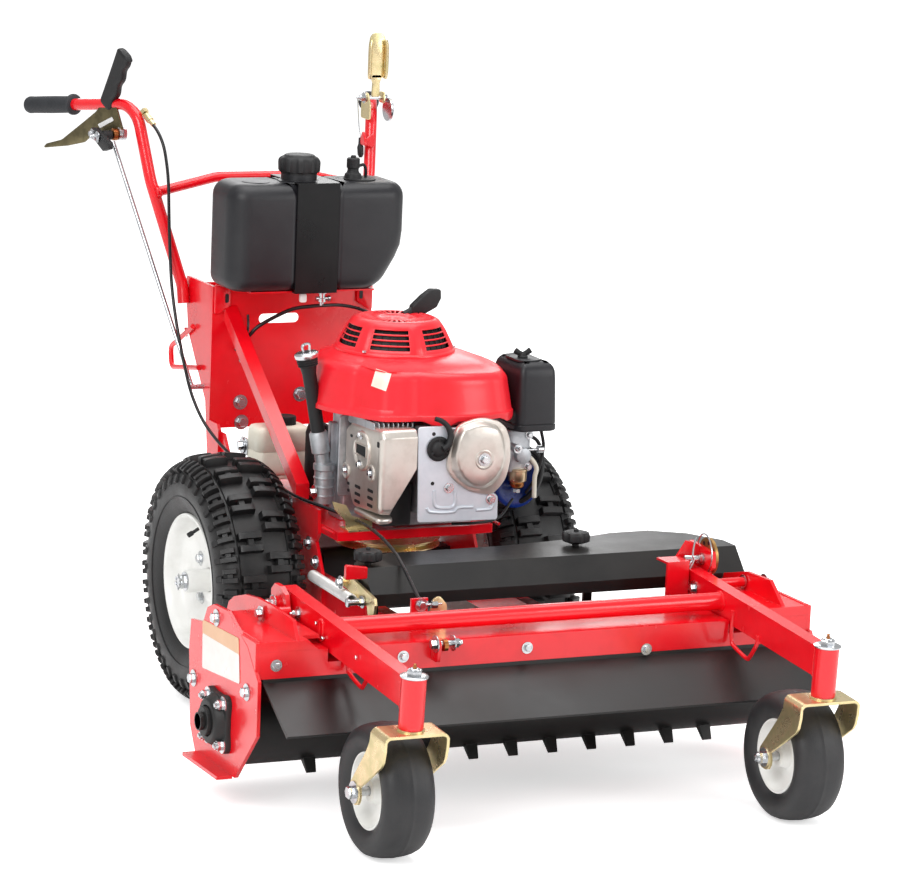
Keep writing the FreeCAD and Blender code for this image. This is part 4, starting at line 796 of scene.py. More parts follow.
def fork_trim(side):
    """Stem cap with nut and grease fitting, axle spacers, axle head and nut."""
    x, y, top, low = side * arm_x, stem_y, 27.9, axle_low
    heel = y + 75
    parts = [turned([(0, 21), (0.6, 22.6), (2.2, 22.6), (3.6, 19), (4.2, 13)],
                    (x, y, top), (0, 0, 1), 32),
             turned([(3.8, 12.6), (10.5, 13), (12, 11)], (x, y, top), (0, 0, 1), 6),
             turned([(11, 9), (13.5, 8), (14.5, 6)], (x, y, top), (0, 0, 1), 20)]
    parts += [turned([(0, 10.5), (2, 10.5)], (x + s * 50, heel, low), (-s, 0, 0), 20)
              for s in (-1, 1)]
    parts += [turned([(0, 7.5), (20, 7.5)], (x + s * 49, heel, low), (-s, 0, 0), 20)
              for s in (-1, 1)]
    parts += bolt((x + side * 55, heel, low), (side, 0, 0), 19)
    parts += nut((x - side * 55, heel, low), (-side, 0, 0), 18, 1)
    return tipped(parts)


for side, word in sides:
    body = "caster_fork_" + word
    piece("folded_fork_" + word, fork(side), yellow_zinc, body, ["caster_fork_" + word], 30)
    piece("fork_fasteners_" + word, fork_trim(side), bright_zinc, body, smooth=35)
    zerk = [turned([(12, 3.4), (15, 3.4), (15.5, 2.2), (17, 2.2), (18.4, 2.8), (19.4, 1.6)],
                   (side * arm_x, stem_y, 29.9), (0, 0, 1), 12)]
    piece("grease_fitting_" + word, tipped(zerk), copper, body, smooth=50)
tell("forks")

# %% [markdown]
# Small welded rods and beads make an arm look made rather than drawn. Each is
# a circle carried along a short smooth path.

# %% Arm details: tow loops, hinge pins, welds
arm_trim, arm_red = [], []
half_wide, tall = 12.7, 25.4      # half the arm tube's two sides
for side in (-1, 1):
    x = side * (arm_x - 13.2)
    loop = [(x, -202, -6), (x - side * 2, -204, -30), (x - side * 2, -209, -50),
            (x - side * 2, -218, -56), (x - side * 2, -262, -63), (x - side * 2, -272, -58),
            (x - side * 2, -290, -34), (x, -293, -22)]
    arm_red.append(swept(smooth_path(loop, 40), circle(3.6, 10)))
    for spot in (loop[0], loop[-1]):
        arm_red.append(bead([(x, spot[1], spot[2] + 8), (x, spot[1], spot[2] - 6)], 4.2))
    for z in (-tall, tall):
        arm_red.append(bead([(side * arm_x - 12, -477, z), (side * arm_x + 12, -477, z)], 3.0))
    for edge in (-half_wide, half_wide):
        arm_red.append(bead([(side * arm_x + edge, -477.5, -tall),
                             (side * arm_x + edge, -477.5, tall)], 3.0))
    arm_red.append(swept([(side * (arm_x - 12.9), -153 + 15 * math.cos(a), 4.2 + 15 * math.sin(a))
                          for a in once_round(28)], circle(3, 6), ring=True))
    arm_trim += bolt((side * (arm_x - 12.9), -60, 0), (-side, 0, 0), 13)
    arm_trim += nut((side * (arm_x + 12.9), -60, 0), (side, 0, 0), 13)
# A short slotted lug outside each arm takes the index pin of the hinge.
for side in (-1, 1):
    x = side * (arm_x + 12.8)
    ring = oblong((-162, -16), (-148, 18), 7, 6)
    arm_red.append(swept(np.column_stack([np.full(len(ring), x), ring]), circle(2.6, 8), ring=True))
    for y, z in ((-140, 8), (-138, -12), (-170, -8)):
        arm_trim += bolt((x, y, z), (side, 0, 0), 6.5, False)
    arm_trim += bolt((x, -305, 2), (side, 0, 0), 6, False)
piece("arm_loops_and_welds", tipped(arm_red), red_coat, "caster_frame", smooth=50)
piece("arm_bolts", tipped(arm_trim), bright_zinc, "caster_frame", smooth=35)
tell("arm details")

# %% [markdown]
# ## Rake head
# The head is plate bolted to a folded beam, so its bolts are what the eye
# reads first. The drum turns in flanged bearings outside the end plates.

# %% Head bolts, welds and bearings
head_bolts, head_welds, bearing = [], [], []
end_x, drum_y, drum_z = 505.0, -605.0, 140.0      # end plate's outer face and the drum's line
for x, z in ((-469, 262), (-248, 262), (-26, 262), (194, 245), (416, 262)):
    head_bolts += bolt((x, -745.2, z), (0, -1, 0), 10.5)
for side in (-1, 1):
    for y, z in ((-576, 303), (-482, 179), (-715, 213)):
        head_bolts += bolt((side * 505.2, y, z), (side, 0, 0), 15)
    centre = np.array([side * end_x, drum_y, drum_z])
    angle = once_round(72)
    lobes = 52 + 8.5 * np.cos(4 * angle) + 2 * np.cos(8 * angle)
    loops = []
    for out, size in ((0, 1.0), (7, 1.0), (9, 0.97), (9.5, 0.9)):
        ring = size * lobes[:, None] * np.stack([np.cos(angle + math.pi / 4),
                                                 np.sin(angle + math.pi / 4)], 1)
        loops.append(np.column_stack([np.full(72, centre[0] + side * out), centre[1] + ring[:, 0],
                                      centre[2] + ring[:, 1]]))
    bearing.append(shell(loops))
    bearing.append(turned([(8, 44), (14, 42), (21, 38), (24, 36), (25, 33), (25, 26), (21, 25)],
                          centre, (side, 0, 0), 40))
    bearing.append(turned([(20, 24), (31, 24), (32, 23), (32, 17.5)], centre, (side, 0, 0), 32))
    bearing.append(turned([(20, 14.4), (38.5, 14.4), (40, 13)], centre, (side, 0, 0), 28))
    for k in range(4):
        a = math.pi / 4 + k * math.pi / 2
        spot = centre + [side * 9.4, 48 * math.cos(a), 48 * math.sin(a)]
        head_bolts += nut(spot, (side, 0, 0), 15, 2)
    outer = 397.0                             # outer face of the hinge plates
    head_bolts += nut((side * outer, hinge_y, hinge_z), (side, 0, 0), 17, 5)
    stay = 430.0 if side < 0 else 452.0       # the gussets differ: the left arm carries the disc
    head_bolts += bolt((side * (stay + 10.2), -604, 313), (side, 0, 0), 13)
    head_bolts += bolt((side * (stay - 2), -604, 313), (-side, 0, 0), 13)
piece("head_bolts", head_bolts, bright_zinc, smooth=35)
piece("flange_bearings", bearing, black_iron, hides=["bearing_left", "bearing_right"])
print("head pieces:", len(made))

# %% [markdown]
# The latch is a small plate with a bolt through a copper bush. A rounded
# outline given a thickness is enough for the plate.

# %% Latch lug in the middle of the beam
latch = rounded([(-746, 254), (-770, 254), (-776, 284), (-768, 291), (-746, 291)],
                [1, 5, 6, 4, 1], 4)
piece("latch_lug", [slab(latch[::-1], -199, -193, "x", 0.8, 2)], red_coat)
latch_bolt = bolt((-199, -764, 284), (-1, 0, 0), 15)
latch_bolt += nut((-170, -764, 284), (1, 0, 0), 15, 4)
latch_bolt.append(turned([(0, 4.5), (30, 4.5)], (-197, -764, 284), (1, 0, 0), 14))
piece("latch_bolt", latch_bolt, bright_zinc, smooth=35)
bush_ = [turned([(0, 8), (1, 9.6), (8, 9.6), (9, 8)], (-188, -764, 281), (1, 0, 0), 24)]
piece("latch_bush", bush_, copper)
tell("latch lug in the middle of the beam")

# %% [markdown]
# Star knobs are moulded with eight lobes. A ring whose radius follows a
# clipped cosine gives the lobes, and stacked rings give the dome. The plates
# on the side are left blank, and the beads follow the seams.

# %% Blank safety plates, weld beads, knobs
def knob(x, y, z, radius=20.5):
    """A star knob: a short stack of eight-lobed rings with a domed middle."""
    angle = once_round(64)
    star = 1 + 0.13 * np.clip(np.cos(8 * angle), -0.6, 0.75)
    loops = []
    for up_, size in ((-4, 0.62), (-1, 0.9), (0.5, 1.0), (10, 1.02), (13.6, 0.96), (15.6, 0.8),
                      (16.2, 0.6), (16.0, 0.3)):
        ring = (radius * 1.1) * size * (star if size > 0.75 else 1)
        loops.append(level_ring(x, y, z + up_, ring, angle))
    stud = turned([(15, 4.2), (19.6, 4.0), (20.4, 3)], (x, y, z), (0, 0, 1), 12)
    return [shell(loops), stud]


piece("cover_knobs", knob(-190, -460, 357) + knob(221, -415, 357), matt_plastic)
plate_outline = rounded([(-515, 286), (-674, 292), (-684, 219), (-520, 206)], 5)
lower_outline = rounded([(-517.5, 264), (-678.5, 266), (-684, 219), (-520, 206)], 4)
# Printed film left blank: a tan field with a near-white one below, both flat
# and evenly glossy, so they read as a sticker on the paint.
piece("blank_plate", [slab(plate_outline[::-1], -505.9, -505.1, "x", 0.2, 1)],
      finish("blank_plate_tan", "#E2B48C", "#DDAE86", rough=0.3), smooth=30)
piece("blank_plate_field", [slab(lower_outline[::-1], -506.2, -505.7, "x", 0.15, 1)],
      finish("blank_plate_white", "#EEEAE6", "#E6E1DC", rough=0.3), smooth=30)

for side in (-1, 1):
    head_welds.append(bead([(side * 497, -528, 300), (side * 497, -742, 300)], 2.6))
    for x in (391, 429.6 if side < 0 else 451.6):
        head_welds.append(bead([(side * x, -600, 300), (side * x, -536, 300)], 3.0))
for x, y0, y1, z in ((-158, -238, -190, 352), (158, -238, -190, 352)):
    head_welds.append(bead([(x, y0, z), (x, y1, z)], 2.6))
piece("weld_beads", head_welds, red_coat, smooth=60)
tell("blank safety plates")

# %% [markdown]
# The extension spring between the belt lever and the frame is wound from
# 3.4 mm wire. Its axis is straight, so each turn is a circle whose centre
# creeps along by about one wire width. Both ends run on straight to their pins.

# %% Coil spring
def coil_spring(start, end, radius, wire, turns):
    """A helix of wire round a straight axis with a straight tail to each end."""
    start, end = np.array(start, float), np.array(end, float)
    u, v, w = axes(end - start)
    span = np.linalg.norm(end - start)
    t = np.linspace(0, 1, turns * 12)
    coil = np.linspace(span * 0.09, span * 0.95, len(t))
    a = 2 * np.pi * turns * t
    body = start + coil[:, None] * w + (radius - wire / 2) * (np.cos(a)[:, None] * u
                                                              + np.sin(a)[:, None] * v)
    path = np.vstack([start + np.linspace(0, span * 0.08, 5)[:, None] * w, body,
                      start + np.linspace(span * 0.96, span, 5)[:, None] * w])
    return [swept(path, circle(wire / 2, 7), start=u)]


# Zinc-plated spring wire with light painted into its colour: paler and less
# mirror-like than a bolt, standing in for the light the close turns throw on each other.
spring_wire = finish("zinc_spring_wire_painted_sheen", "#F6F6F4", "#E8E8E6", metal=0.55, rough=0.34)
piece("belt_spring", coil_spring((-164, -150, 262), (-230, -500.8, 296), 10.4, 3.4, 92),
      spring_wire, hides=["lift_spring"], smooth=60)
hook = [turned([(0, 6.5), (4, 6.5), (5, 5.2), (30, 5.2), (31, 7.4), (35, 7.4), (36, 5)],
               (-212, -508, 296), (-1, 0, 0), 14)]
hook += nut((-218, -508, 296), (-1, 0, 0), 12, 4)
tab = rounded([(-246, 333), (-207, 333), (-207, 353), (-211, 353), (-246, 358)], [2, 2, 2, 2, 3], 3)
piece("cover_tab", [slab(tab[::-1], -500, -490, "y", 1, 1)], red_coat, smooth=35)
cheeks = [slab(rounded([(-745.2, 246), (-745.2, 300.2), (-526.4, 300.2), (-526.4, 262)],
                       1, 2)[::side],
               *sorted((side * 496.5, side * 504.6)), "x", 0.4, 1) for side in (-1, 1)]
piece("beam_cheeks", cheeks, red_coat, smooth=35)
hook += bolt((-224, -428, 312), (-1, 0, 0), 12)
piece("spring_fasteners", hook, bright_zinc, smooth=35)
tell("coil spring")

# %% [markdown]
# ## Engine
# A vertical-shaft engine shows four kinds of skin: a moulded red plastic
# shroud with its round slotted fan cover, pale pressed steel round the
# muffler and over the valves, a rough casting, and black plastic on the air
# cleaner. Each is a stack of loops with its own edge rounding.

# %% [markdown]
# The cover turns round the crank, so a turned skin fits it. Its slots could
# be cut with booleans, but leaving out faces column by column is exact and
# quick, and a solidify modifier then gives the skin its thickness.

# %% Slotted fan cover
crank = np.array([8.0, -95.0])


def fan_cover():
    """A turned skin, one column a degree, whose faces are left out in six
    groups of four slots round the wall and in a ring of slots on top."""
    wall = [(645.5, 106.5), (647.5, 106.5), (650, 105.5), (651.5, 102.5), (658, 99.8),
            (664.8, 96.5), (667, 95.4), (673.8, 91.9), (676, 90.8), (682.8, 87.2), (685, 86.0),
            (691.6, 82.4), (693.4, 81.4), (696.2, 79.6), (699.2, 77.0), (701.6, 73.6),
            (703.2, 69.5), (703.8, 66)]
    slots = {4, 6, 8, 10}
    top = [(703.9, 63), (703.2, 38), (703, 34), (702.8, 29), (701.5, 27), (700.5, 24), (700.5, 10),
           (700.5, 0.5)]
    rows = np.array(wall + top)
    degree = np.arange(360)
    window = np.abs((degree - 240.5 + 30) % 60 - 30) < 21
    rib = np.clip(1.6 - np.abs((degree - 240.5) % 60 - 30) / 5, 0, 1)
    bulge = np.interp(rows[:, 0], [650, 656, 688, 699], [0, 1, 1, 0])
    bulge[len(wall):] = 0
    r = rows[:, 1][:, None] + 2.2 * bulge[:, None] * rib[None, :]
    a = np.radians(degree)
    cloud = np.stack([crank[0] + r * np.cos(a), crank[1] + r * np.sin(a),
                      np.broadcast_to(rows[:, :1], r.shape)], -1)
    faces = []
    louvre = (degree % 10) < 6
    for i in range(len(rows) - 1):
        keep = np.ones(360, bool)
        if i in slots:
            keep = ~window
        if i == len(wall):
            keep = ~louvre
        for j in degree[keep].tolist():
            k = (j + 1) % 360
            faces.append([i * 360 + j, i * 360 + k, (i + 1) * 360 + k, (i + 1) * 360 + j])
    return [(cloud.reshape(-1, 3), faces)]


cover = piece("slotted_fan_cover", fan_cover(), red_plastic, hides=["fan_cover"],
              smooth=35)
thick = cover.modifiers.new("skin", "SOLIDIFY")
thick.thickness, thick.offset = 0.0026, -1.0
screen = [turned([(646, 94), (655, 93), (685, 78), (697, 66), (698, 20), (698, 1)],
                 (crank[0], crank[1], 0), (0, 0, 1), 60)]
for k in range(36):
    a = k * math.pi / 18
    out = np.array([math.cos(a), math.sin(a)])
    ribs = [(crank[0] + out[0] * r, crank[1] + out[1] * r, z)
            for r, z in ((95, 650), (87, 670), (80, 686), (70, 697))]
    screen.append(swept(ribs, circle(1.1, 5)))
piece("fan_screen", screen, matt_plastic)
screws = []
for k in range(3):
    a = math.radians(215.5 + 120 * k)
    screws += bolt((crank[0] + 103.5 * math.cos(a), crank[1] + 103.5 * math.sin(a), 650.5),
                   (0, 0, 1), 7, False)
piece("fan_cover_screws", screws, bright_zinc, smooth=35)
print("fan cover faces:", len(cover.data.polygons))

# %% [markdown]
# The shroud is not round: in plan it is a soft block, and it meets the round
# cover at the top. In polar form round the crank both outlines are one radius
# per direction, so they blend ring by ring.

# %% Moulded shroud
def shroud():
    """Loops in polar form round the crank: the outline at the bottom is drawn
    in plan, a ledge steps it in, the wall leans, and a rounded shoulder runs
    up a gentle slope into the circle under the fan cover."""
    plan = rounded([(-113, -205), (-84, -262), (-20, -270), (148, -270), (179, -238), (180, -60),
                    (132, 34), (60, 45), (-80, 45), (-115, 8)],
                   [24, 26, 40, 26, 34, 60, 50, 40, 34, 40], 8)
    a = np.linspace(-math.pi, math.pi, 181)[:-1]
    rel = plan - crank
    bearing_ = np.arctan2(rel[:, 1], rel[:, 0])
    order = np.argsort(bearing_)
    rim = np.interp(a, bearing_[order], np.hypot(rel[:, 0], rel[:, 1])[order], period=2 * math.pi)
    bump = -7.0 * np.exp(-((a + 2.17) / 0.27) ** 4)
    far = np.clip((rim - 112) / 110, 0, 1)
    crest = 641 - 15 * far ** 1.2
    spots = [(549, 0), (557, 0.3), (559, 2.6), (561, 3.4)]
    loops = [rim - pull for z, pull in spots]
    heights = [np.full(len(a), float(z)) for z, pull in spots]
    across = crank[0] + rim * np.cos(a)
    ahead = np.sin(a) < -0.5
    for middle, half in ((20, 28), (158, 17)):
        heights[0] = heights[0] - 7.0 * ahead * np.clip((half - np.abs(across - middle)) / 8, 0, 1)
    lean = 9.0
    for t in np.linspace(0.12, 1, 5):
        loops.append(rim - 3.4 - lean * t)
        heights.append(561 + (crest - 20 - 561) * t)
    for t in np.linspace(0, math.pi / 2, 7)[1:]:
        loops.append(rim - 3.4 - lean - 20 * (1 - math.cos(t)))
        heights.append(crest - 20 + 20 * math.sin(t))
    edge, level = loops[-1], heights[-1]
    for t in np.linspace(0, 1, 5)[1:]:
        loops.append(edge + (100.0 - edge) * t)
        heights.append(level + (647.0 - level) * (1 - (1 - t) ** 1.6))
    rings = []
    for i, (r, z) in enumerate(zip(loops, heights)):
        r = r + bump * (0.0 if i < 4 or i > 12 else 1.0)
        rings.append(np.column_stack([crank[0] + r * np.cos(a), crank[1] + r * np.sin(a), z]))
    return [shell(rings)]


hood = piece("moulded_shroud", shroud(), red_plastic, hides=["engine_shroud"],
             smooth=32)


def label_on(thing, corners, toward, steps=7):
    """A thin patch laid on a surface: a grid between four corners, each point
    dropped along one direction on to the surface and lifted half a millimetre."""
    toward = Vector(toward).normalized()
    a, b, c, d = [np.array(k, float) for k in corners]
    cloud, faces = [], []
    for i in range(steps):
        for j in range(steps):
            u, v = i / (steps - 1), j / (steps - 1)
            spot = (a * (1 - u) + b * u) * (1 - v) + (d * (1 - u) + c * u) * v
            start = Vector(spot / 1000 + [0, shift, 0]) - toward * 0.2
            hit, place, normal, _ = thing.ray_cast(start, toward)
            place = place + normal * 0.0005 if hit else start + toward * 0.2
            cloud.append([place.x * 1000, (place.y - shift) * 1000, place.z * 1000])
    for i in range(steps - 1):
        for j in range(steps - 1):
            k = i * steps + j
            faces.append([k, k + steps, k + steps + 1, k + 1])
    return [(np.array(cloud), faces)]


# A blank film label: cream, flat, with the evenness that print stock has.
label_white = finish("blank_label_film", "#F2EDE0", "#ECE6D6", rough=0.3, grain_mm=1.0, relief=0.03)
bpy.context.view_layer.update()
piece("blank_label", label_on(hood, [(-91, -240, 637), (-61, -240, 629), (-70, -240, 599),
                                     (-99, -240, 608)], (0.42, 0.9, -0.12)), label_white,
      smooth=60)
tell("moulded shroud")

# %% [markdown]
# A block of soft plastic on a short cord. A rounded outline with a wide
# quarter-round rim is all that shows.

# %% Recoil handle
def handle_boot():
    """A chunky moulded block that leans outwards, and the rope's short neck."""
    outline = rounded([(50, 700), (78, 701), (100, 712), (108, 728), (107, 744), (88, 745),
                       (72, 734), (52, 716)], [5, 14, 10, 6, 4, 6, 14, 6], 5)
    neck = smooth_path([(38, -62, 699), (50, -61, 704), (62, -60, 711)], 8)
    return [slab(outline[::-1], -69, -51, "y", 4.0, 3), swept(neck, circle(1.0, 16) * [6.5, 7.5])]


piece("recoil_handle", handle_boot(), matt_plastic, hides=["recoil_grip"], smooth=45)
tell("recoil handle")

# %% [markdown]
# The muffler guard is one pressed shell in satin steel: a broad flat face,
# generous corner rounding, a flange where the two halves meet, and a raised
# ring round the square outlet. Its slots are dark plates of painted shade on
# the flat face, and the screws sit on that face too.

# %% Muffler guard
def shade_patch(outline, x, depth=0.5):
    """Painted shade: a thin dark plate on the guard's face, where an opening would show the shade
    inside it.
    """
    return slab(outline[::-1], x - depth, x + depth, "x", 0.1, 1)


guard_face = -102.0      # the muffler guard's flat face
guard = rounded([(-141, 440), (-141, 518), (-168, 536), (-296, 541), (-305, 528), (-305, 402),
                 (-296, 392), (-183, 384)], [16, 14, 20, 10, 8, 8, 10, 20], 7)
rim_steps = [(-33.4, 5), (-34, 2), (-36, 0), (-50, 0), (-65, 0), (-80, 0), (-92, 0.4), (-96, 1.4),
             (-99.4, 3.6), (-101.2, 6.4), (-102, 11)]
loops = []
for x, pull in rim_steps:
    loop = placed(inset(guard, pull), x, "x")
    slant = 402 + np.clip((x + 80) / 40, 0, 1.2) * 64 + pull
    loop[:, 2] = np.maximum(loop[:, 2], slant if x > -80 else 0)
    loops.append(loop)
boss = np.array([guard_face, -221.0, 492.0])
parts = [shell(loops), turned([(-1, 35), (1.4, 35), (3.4, 33.5), (4.2, 31), (3.4, 28.5),
                               (1.0, 26.5), (0.4, 14)], boss, (-1, 0, 0), 48)]
for y, z in ((-262, 460), (-153, 444)):
    parts.append(turned([(-1, 15), (1.2, 15), (2.6, 13), (2.2, 10.5), (0.6, 9), (0.4, 3)],
                        (guard_face, y, z), (-1, 0, 0), 28))
outlet = rounded([(-246, 481), (-196, 483), (-197, 503), (-245, 504)], 3, 4)
parts.append(shell([placed(outlet, guard_face, "x"), placed(outlet, -106, "x"),
                    placed(inset(outlet, 1.4), -106.4, "x"),
                    placed(inset(outlet, 2.0), -105.4, "x"),
                    placed(inset(outlet, 2.2), -103, "x")]))
piece("muffler_guard", parts, pressed_steel, hides=["muffler"], smooth=35)
# The outlet's floor and the slots are painted shade: dark plates, not holes.
dark = [shade_patch(rounded([(-243, 483.4), (-198.4, 485), (-199, 501), (-242.6, 502)], 2, 3), -103.6)]
for col in (0, 1):
    for row in (0, 1, 2):
        y, z = -206 - 55 * col, 425 + 4 * col - 13 * row
        dark.append(shade_patch(oblong((y - 12, z - 2.8), (y + 12, z + 2.8), 2.6, 3), guard_face))
dark.append(shade_patch(oblong((-293, 510), (-283, 520), 2, 3), guard_face))
for y, z, wide in ((-172, 509, 5), (-165, 423, 5), (-166, 411, 5)):
    dark.append(shade_patch(oblong((y - wide, z - 2.6), (y + wide, z + 2.6), 2.4, 3), guard_face))
piece("guard_openings_painted_shade", dark, matt_plastic, smooth=30)
screws = []
for y, z in ((-215, 519), (-213, 466), (-262, 460), (-153, 444)):
    screws += bolt((-102.4, y, z), (-1, 0, 0), 9)
piece("guard_screws", screws, bright_zinc, smooth=35)
tell("muffler guard")

# %% [markdown]
# The valve cover is a pressed dish whose rim and crown have different
# outlines. We turn both into radii about one middle and mix them. The shield
# is flat sheet with pressed ribs, which are half-buried rods here.

# %% Valve cover, cylinder shield and plug boot
def spread(outline, centre, count=96):
    """An outline as radii at even angles about a centre, so two outlines can blend."""
    rel = np.asarray(outline) - centre
    bearing_ = np.arctan2(rel[:, 1], rel[:, 0])
    order = np.argsort(bearing_)
    return np.interp(np.linspace(-math.pi, math.pi, count, endpoint=False), bearing_[order],
                     np.hypot(rel[:, 0], rel[:, 1])[order], period=2 * math.pi)


middle = np.array([78.0, 490.0])
skirt = spread(rounded([(19, 480), (27, 514), (37, 545), (54, 553), (113, 553), (131, 538),
                        (140, 498), (138, 472), (131, 447), (108, 421), (84, 425), (42, 443),
                        (22, 466)], [14, 40, 14, 14, 16, 18, 30, 20, 16, 18, 22, 26, 16], 8),
               middle)
crown_ = spread(rounded([(30, 513), (40, 544), (107, 544), (118, 515), (118, 471), (86, 439),
                         (60, 443), (32, 472)], [16, 12, 12, 20, 18, 16, 18, 18], 8), middle)
bearings = np.linspace(-math.pi, math.pi, 96, endpoint=False)
levels = [(-303, skirt), (-309.4, skirt), (-310.8, skirt - 1.2), (-311.2, skirt - 3),
          (-311.4, skirt * 0.45 + crown_ * 0.55), (-313, skirt * 0.32 + crown_ * 0.68),
          (-325, crown_ + 0.6), (-328.4, crown_ - 1.6), (-330, crown_ - 5), (-330.2, crown_ * 0.5)]
cap_ = shell([np.column_stack([middle[0] + r * np.cos(bearings), np.full(96, y),
                               middle[1] + r * np.sin(bearings)]) for y, r in levels])
boss_ring = turned([(-4, 17), (0.2, 17), (1.2, 15.5), (0.8, 13), (0.2, 11), (0.2, 4)],
                   (80, -330, 489), (0, -1, 0), 32)
piece("valve_cover_pressed", [cap_, boss_ring], pressed_steel, hides=["valve_cover"],
      smooth=35)
piece("valve_cover_bolt", bolt((80, -330.4, 489), (0, -1, 0), 12), bright_zinc, smooth=35)

# Galvanised sheet: cool pale grey, half metal, with soft cloudy patches.
shield_paint = finish("zinc_grey_sheet", "#DDE2EA", "#D0D6DF", metal=0.35, rough=0.38, patch_mm=70,
                      grain_mm=0.9, relief=0.08, edge_mm=0.8)
sheet = rounded([(-30, 378), (122, 376), (121, 418), (112, 424), (60, 470), (30, 500), (24, 546),
                 (-35, 546)], [5, 5, 8, 16, 20, 20, 6, 5], 5)[::-1]
ribs = [shell([placed(inset(sheet, pull), y, "y")
               for y, pull in ((-302, 0), (-304.4, 0), (-305.2, 0.8))])]
for line in ([(-2, 434), (-1, 414), (5, 404), (32, 402), (39, 411), (38, 432)],
             [(-14, 403), (-6, 396), (36, 394), (46, 401), (74, 401)],
             [(80, 395), (107, 396), (113, 405)]):
    path = smooth_path([(x, -304.6, z) for x, z in line], 22)
    ribs.append(swept(path, circle(3.2, 10) * [1.0, 1.0]))
piece("cylinder_shield", ribs, shield_paint, smooth=35)
# Painted shade: thin dark discs on the shield, where its holes would show the shade inside.
holes = [turned([(0, 3.4), (0.6, 3.2)], (x, -305.2, z), (0, -1, 0), 16)
         for x, z in ((-6, 533), (-5, 446))]
piece("shield_holes_painted_shade", holes, matt_plastic)
piece("shield_screws", bolt((26, -305, 437), (0, -1, 0), 10)
      + bolt((107, -305, 413), (0, -1, 0), 10), bright_zinc, smooth=35)
boot = [turned([(0, 21), (3, 22), (5, 21), (6, 17.5), (5, 16.5), (5, 14), (9, 12), (11, 8),
                (11.4, 3)], (3, -305, 507), (0, -1, 0), 32)]
for k in range(3):
    a = math.pi / 2 + k * 2 * math.pi / 3
    bar = [(3 + r * math.cos(a), -311, 507 + r * math.sin(a)) for r in (9, 18)]
    boot.append(swept(smooth_path(bar, 3), circle(2.4, 8)))
arm_ = smooth_path([(-5, -306, 560), (6, -309, 556), (17, -312, 546), (22, -314, 530),
                    (17, -315, 514), (8, -314, 508)], 26)
boot.append(swept(arm_, circle(1, 14) * [7.5, 6.0], scale=np.linspace(0.7, 1.05, 26)))
piece("plug_boot_and_lead", boot, matt_plastic, smooth=45)
tell("valve cover")

# %% [markdown]
# Castings are boxes with soft edges and ribs. We stack rounded outlines
# upwards and put small ribs where the case leans.

# %% Crankcase with its flange, ribs and dipstick boss
case = rounded([(-100, -138), (115, -138), (115, 55), (0, 55), (-20, 28), (-34, -16), (-76, -66),
                (-100, -88)], [4, 4, 24, 20, 14, 16, 10, 6], 5)
neck = oblong((-33, -215), (115, -130), 4, 3)
barrel_ = oblong((-20, -290), (115, -210), 4, 3)
block = [slab(case, 360, 549, "z", 3, 2), slab(inset(case, -6), 352.2, 364, "z", 2, 2),
         slab(neck, 352.2, 549, "z", 2, 1), slab(barrel_, 385, 539, "z", 2, 1),
         turned([(0, 12.7), (65, 12.7)], (8, -95, 353), (0, 0, -1), 28),
         turned([(0, 17), (58, 17), (60, 19.5), (70, 19.5), (71, 16)], (-121, -100, 376), (0, 0, 1),
                28), slab(oblong((-104, 362), (-88, 520), 2, 2)[::-1], -112, -96, "x", 3, 2)]
for k, (x, y) in enumerate(((-92, -84), (-78, -70), (-60, -48), (-44, -30), (-33, -8), (-24, 18))):
    block.append(slab(oblong((x - 8, y - 3), (x + 8, y + 3), 2, 3), 362, 540 - 8 * (k % 2), "z", 1,
                      1))
for z in (388, 404, 420):
    block.append(turned([(0, 18.6), (3, 18.6)], (-121, -100, z), (0, 0, 1), 28))
piece("crankcase", block, cast_alloy, hides=["engine_block"], smooth=32)
case_bolts = bolt((-138, -100, 396), (-1, 0, 0), 13)
for x, y in ((-96, -76), (-40, -10)):
    case_bolts += bolt((x, y, 366), (0, 0, 1), 10)
piece("crankcase_bolts", case_bolts, bright_zinc, smooth=35)
duct = [slab(oblong((-84, -268), (-24, -216), 8, 3), 366, 440, "z", 2, 1),
        turned([(0, 20), (4, 22), (120, 22), (134, 18), (138, 10)], (-74, 44, 353), (0, 0, 1), 32)]
piece("lower_duct", duct, matt_plastic, smooth=35)
lip = rounded([(-103, -298), (-72, -295), (-60, -250), (-74, -194), (-103, -184)],
              [10, 18, 20, 14, 10], 5)
piece("guard_lip", [slab(lip, 376, 386, "z", 4, 3)], pressed_steel)
tell("crankcase")

# %% [markdown]
# Nine thin plates stand side by side. Only their edges show, so each is a
# plain rounded slab.

# %% Cooling fins between guard and shroud
fins = []
for k in range(9):
    x = -100 + 9.0 * k
    outline = rounded([(-262, 530), (-262, 547), (-150, 547), (-150, 530)], 4, 3)
    fins.append(slab(outline, x, x + 2.2, "x", 0.4, 1))
fins += [slab(rounded([(-112, 395), (-112, 540), (-60, 540), (-60, 395)], 8, 4)[::-1], -141, -137,
              "y", 1, 1)]
piece("cooling_fins", fins, cast_alloy, smooth=35)
tell("cooling fins between guard and shroud")

# %% [markdown]
# A moulded box with a lid: loops of one rounded rectangle that shrink a
# little with height, with a groove where the halves meet.

# %% Air cleaner
def air_box():
    """Loops of a rounded rectangle that shrink with height, with a parting
    groove near the bottom and a rounded top edge."""
    plan = oblong((181, -250), (260, -125), [16, 16, 14, 14], 7)
    steps_ = [(516, 5), (517, 1.5), (519, 0), (527, 0), (528, 1.4), (529, 1.4), (530, 0.6),
              (575, 2.4), (612, 4.0), (622, 5.2), (629, 8), (634, 12.5), (637, 18), (638, 25)]
    return [shell([placed(inset(plan, pull), z) for z, pull in steps_])]


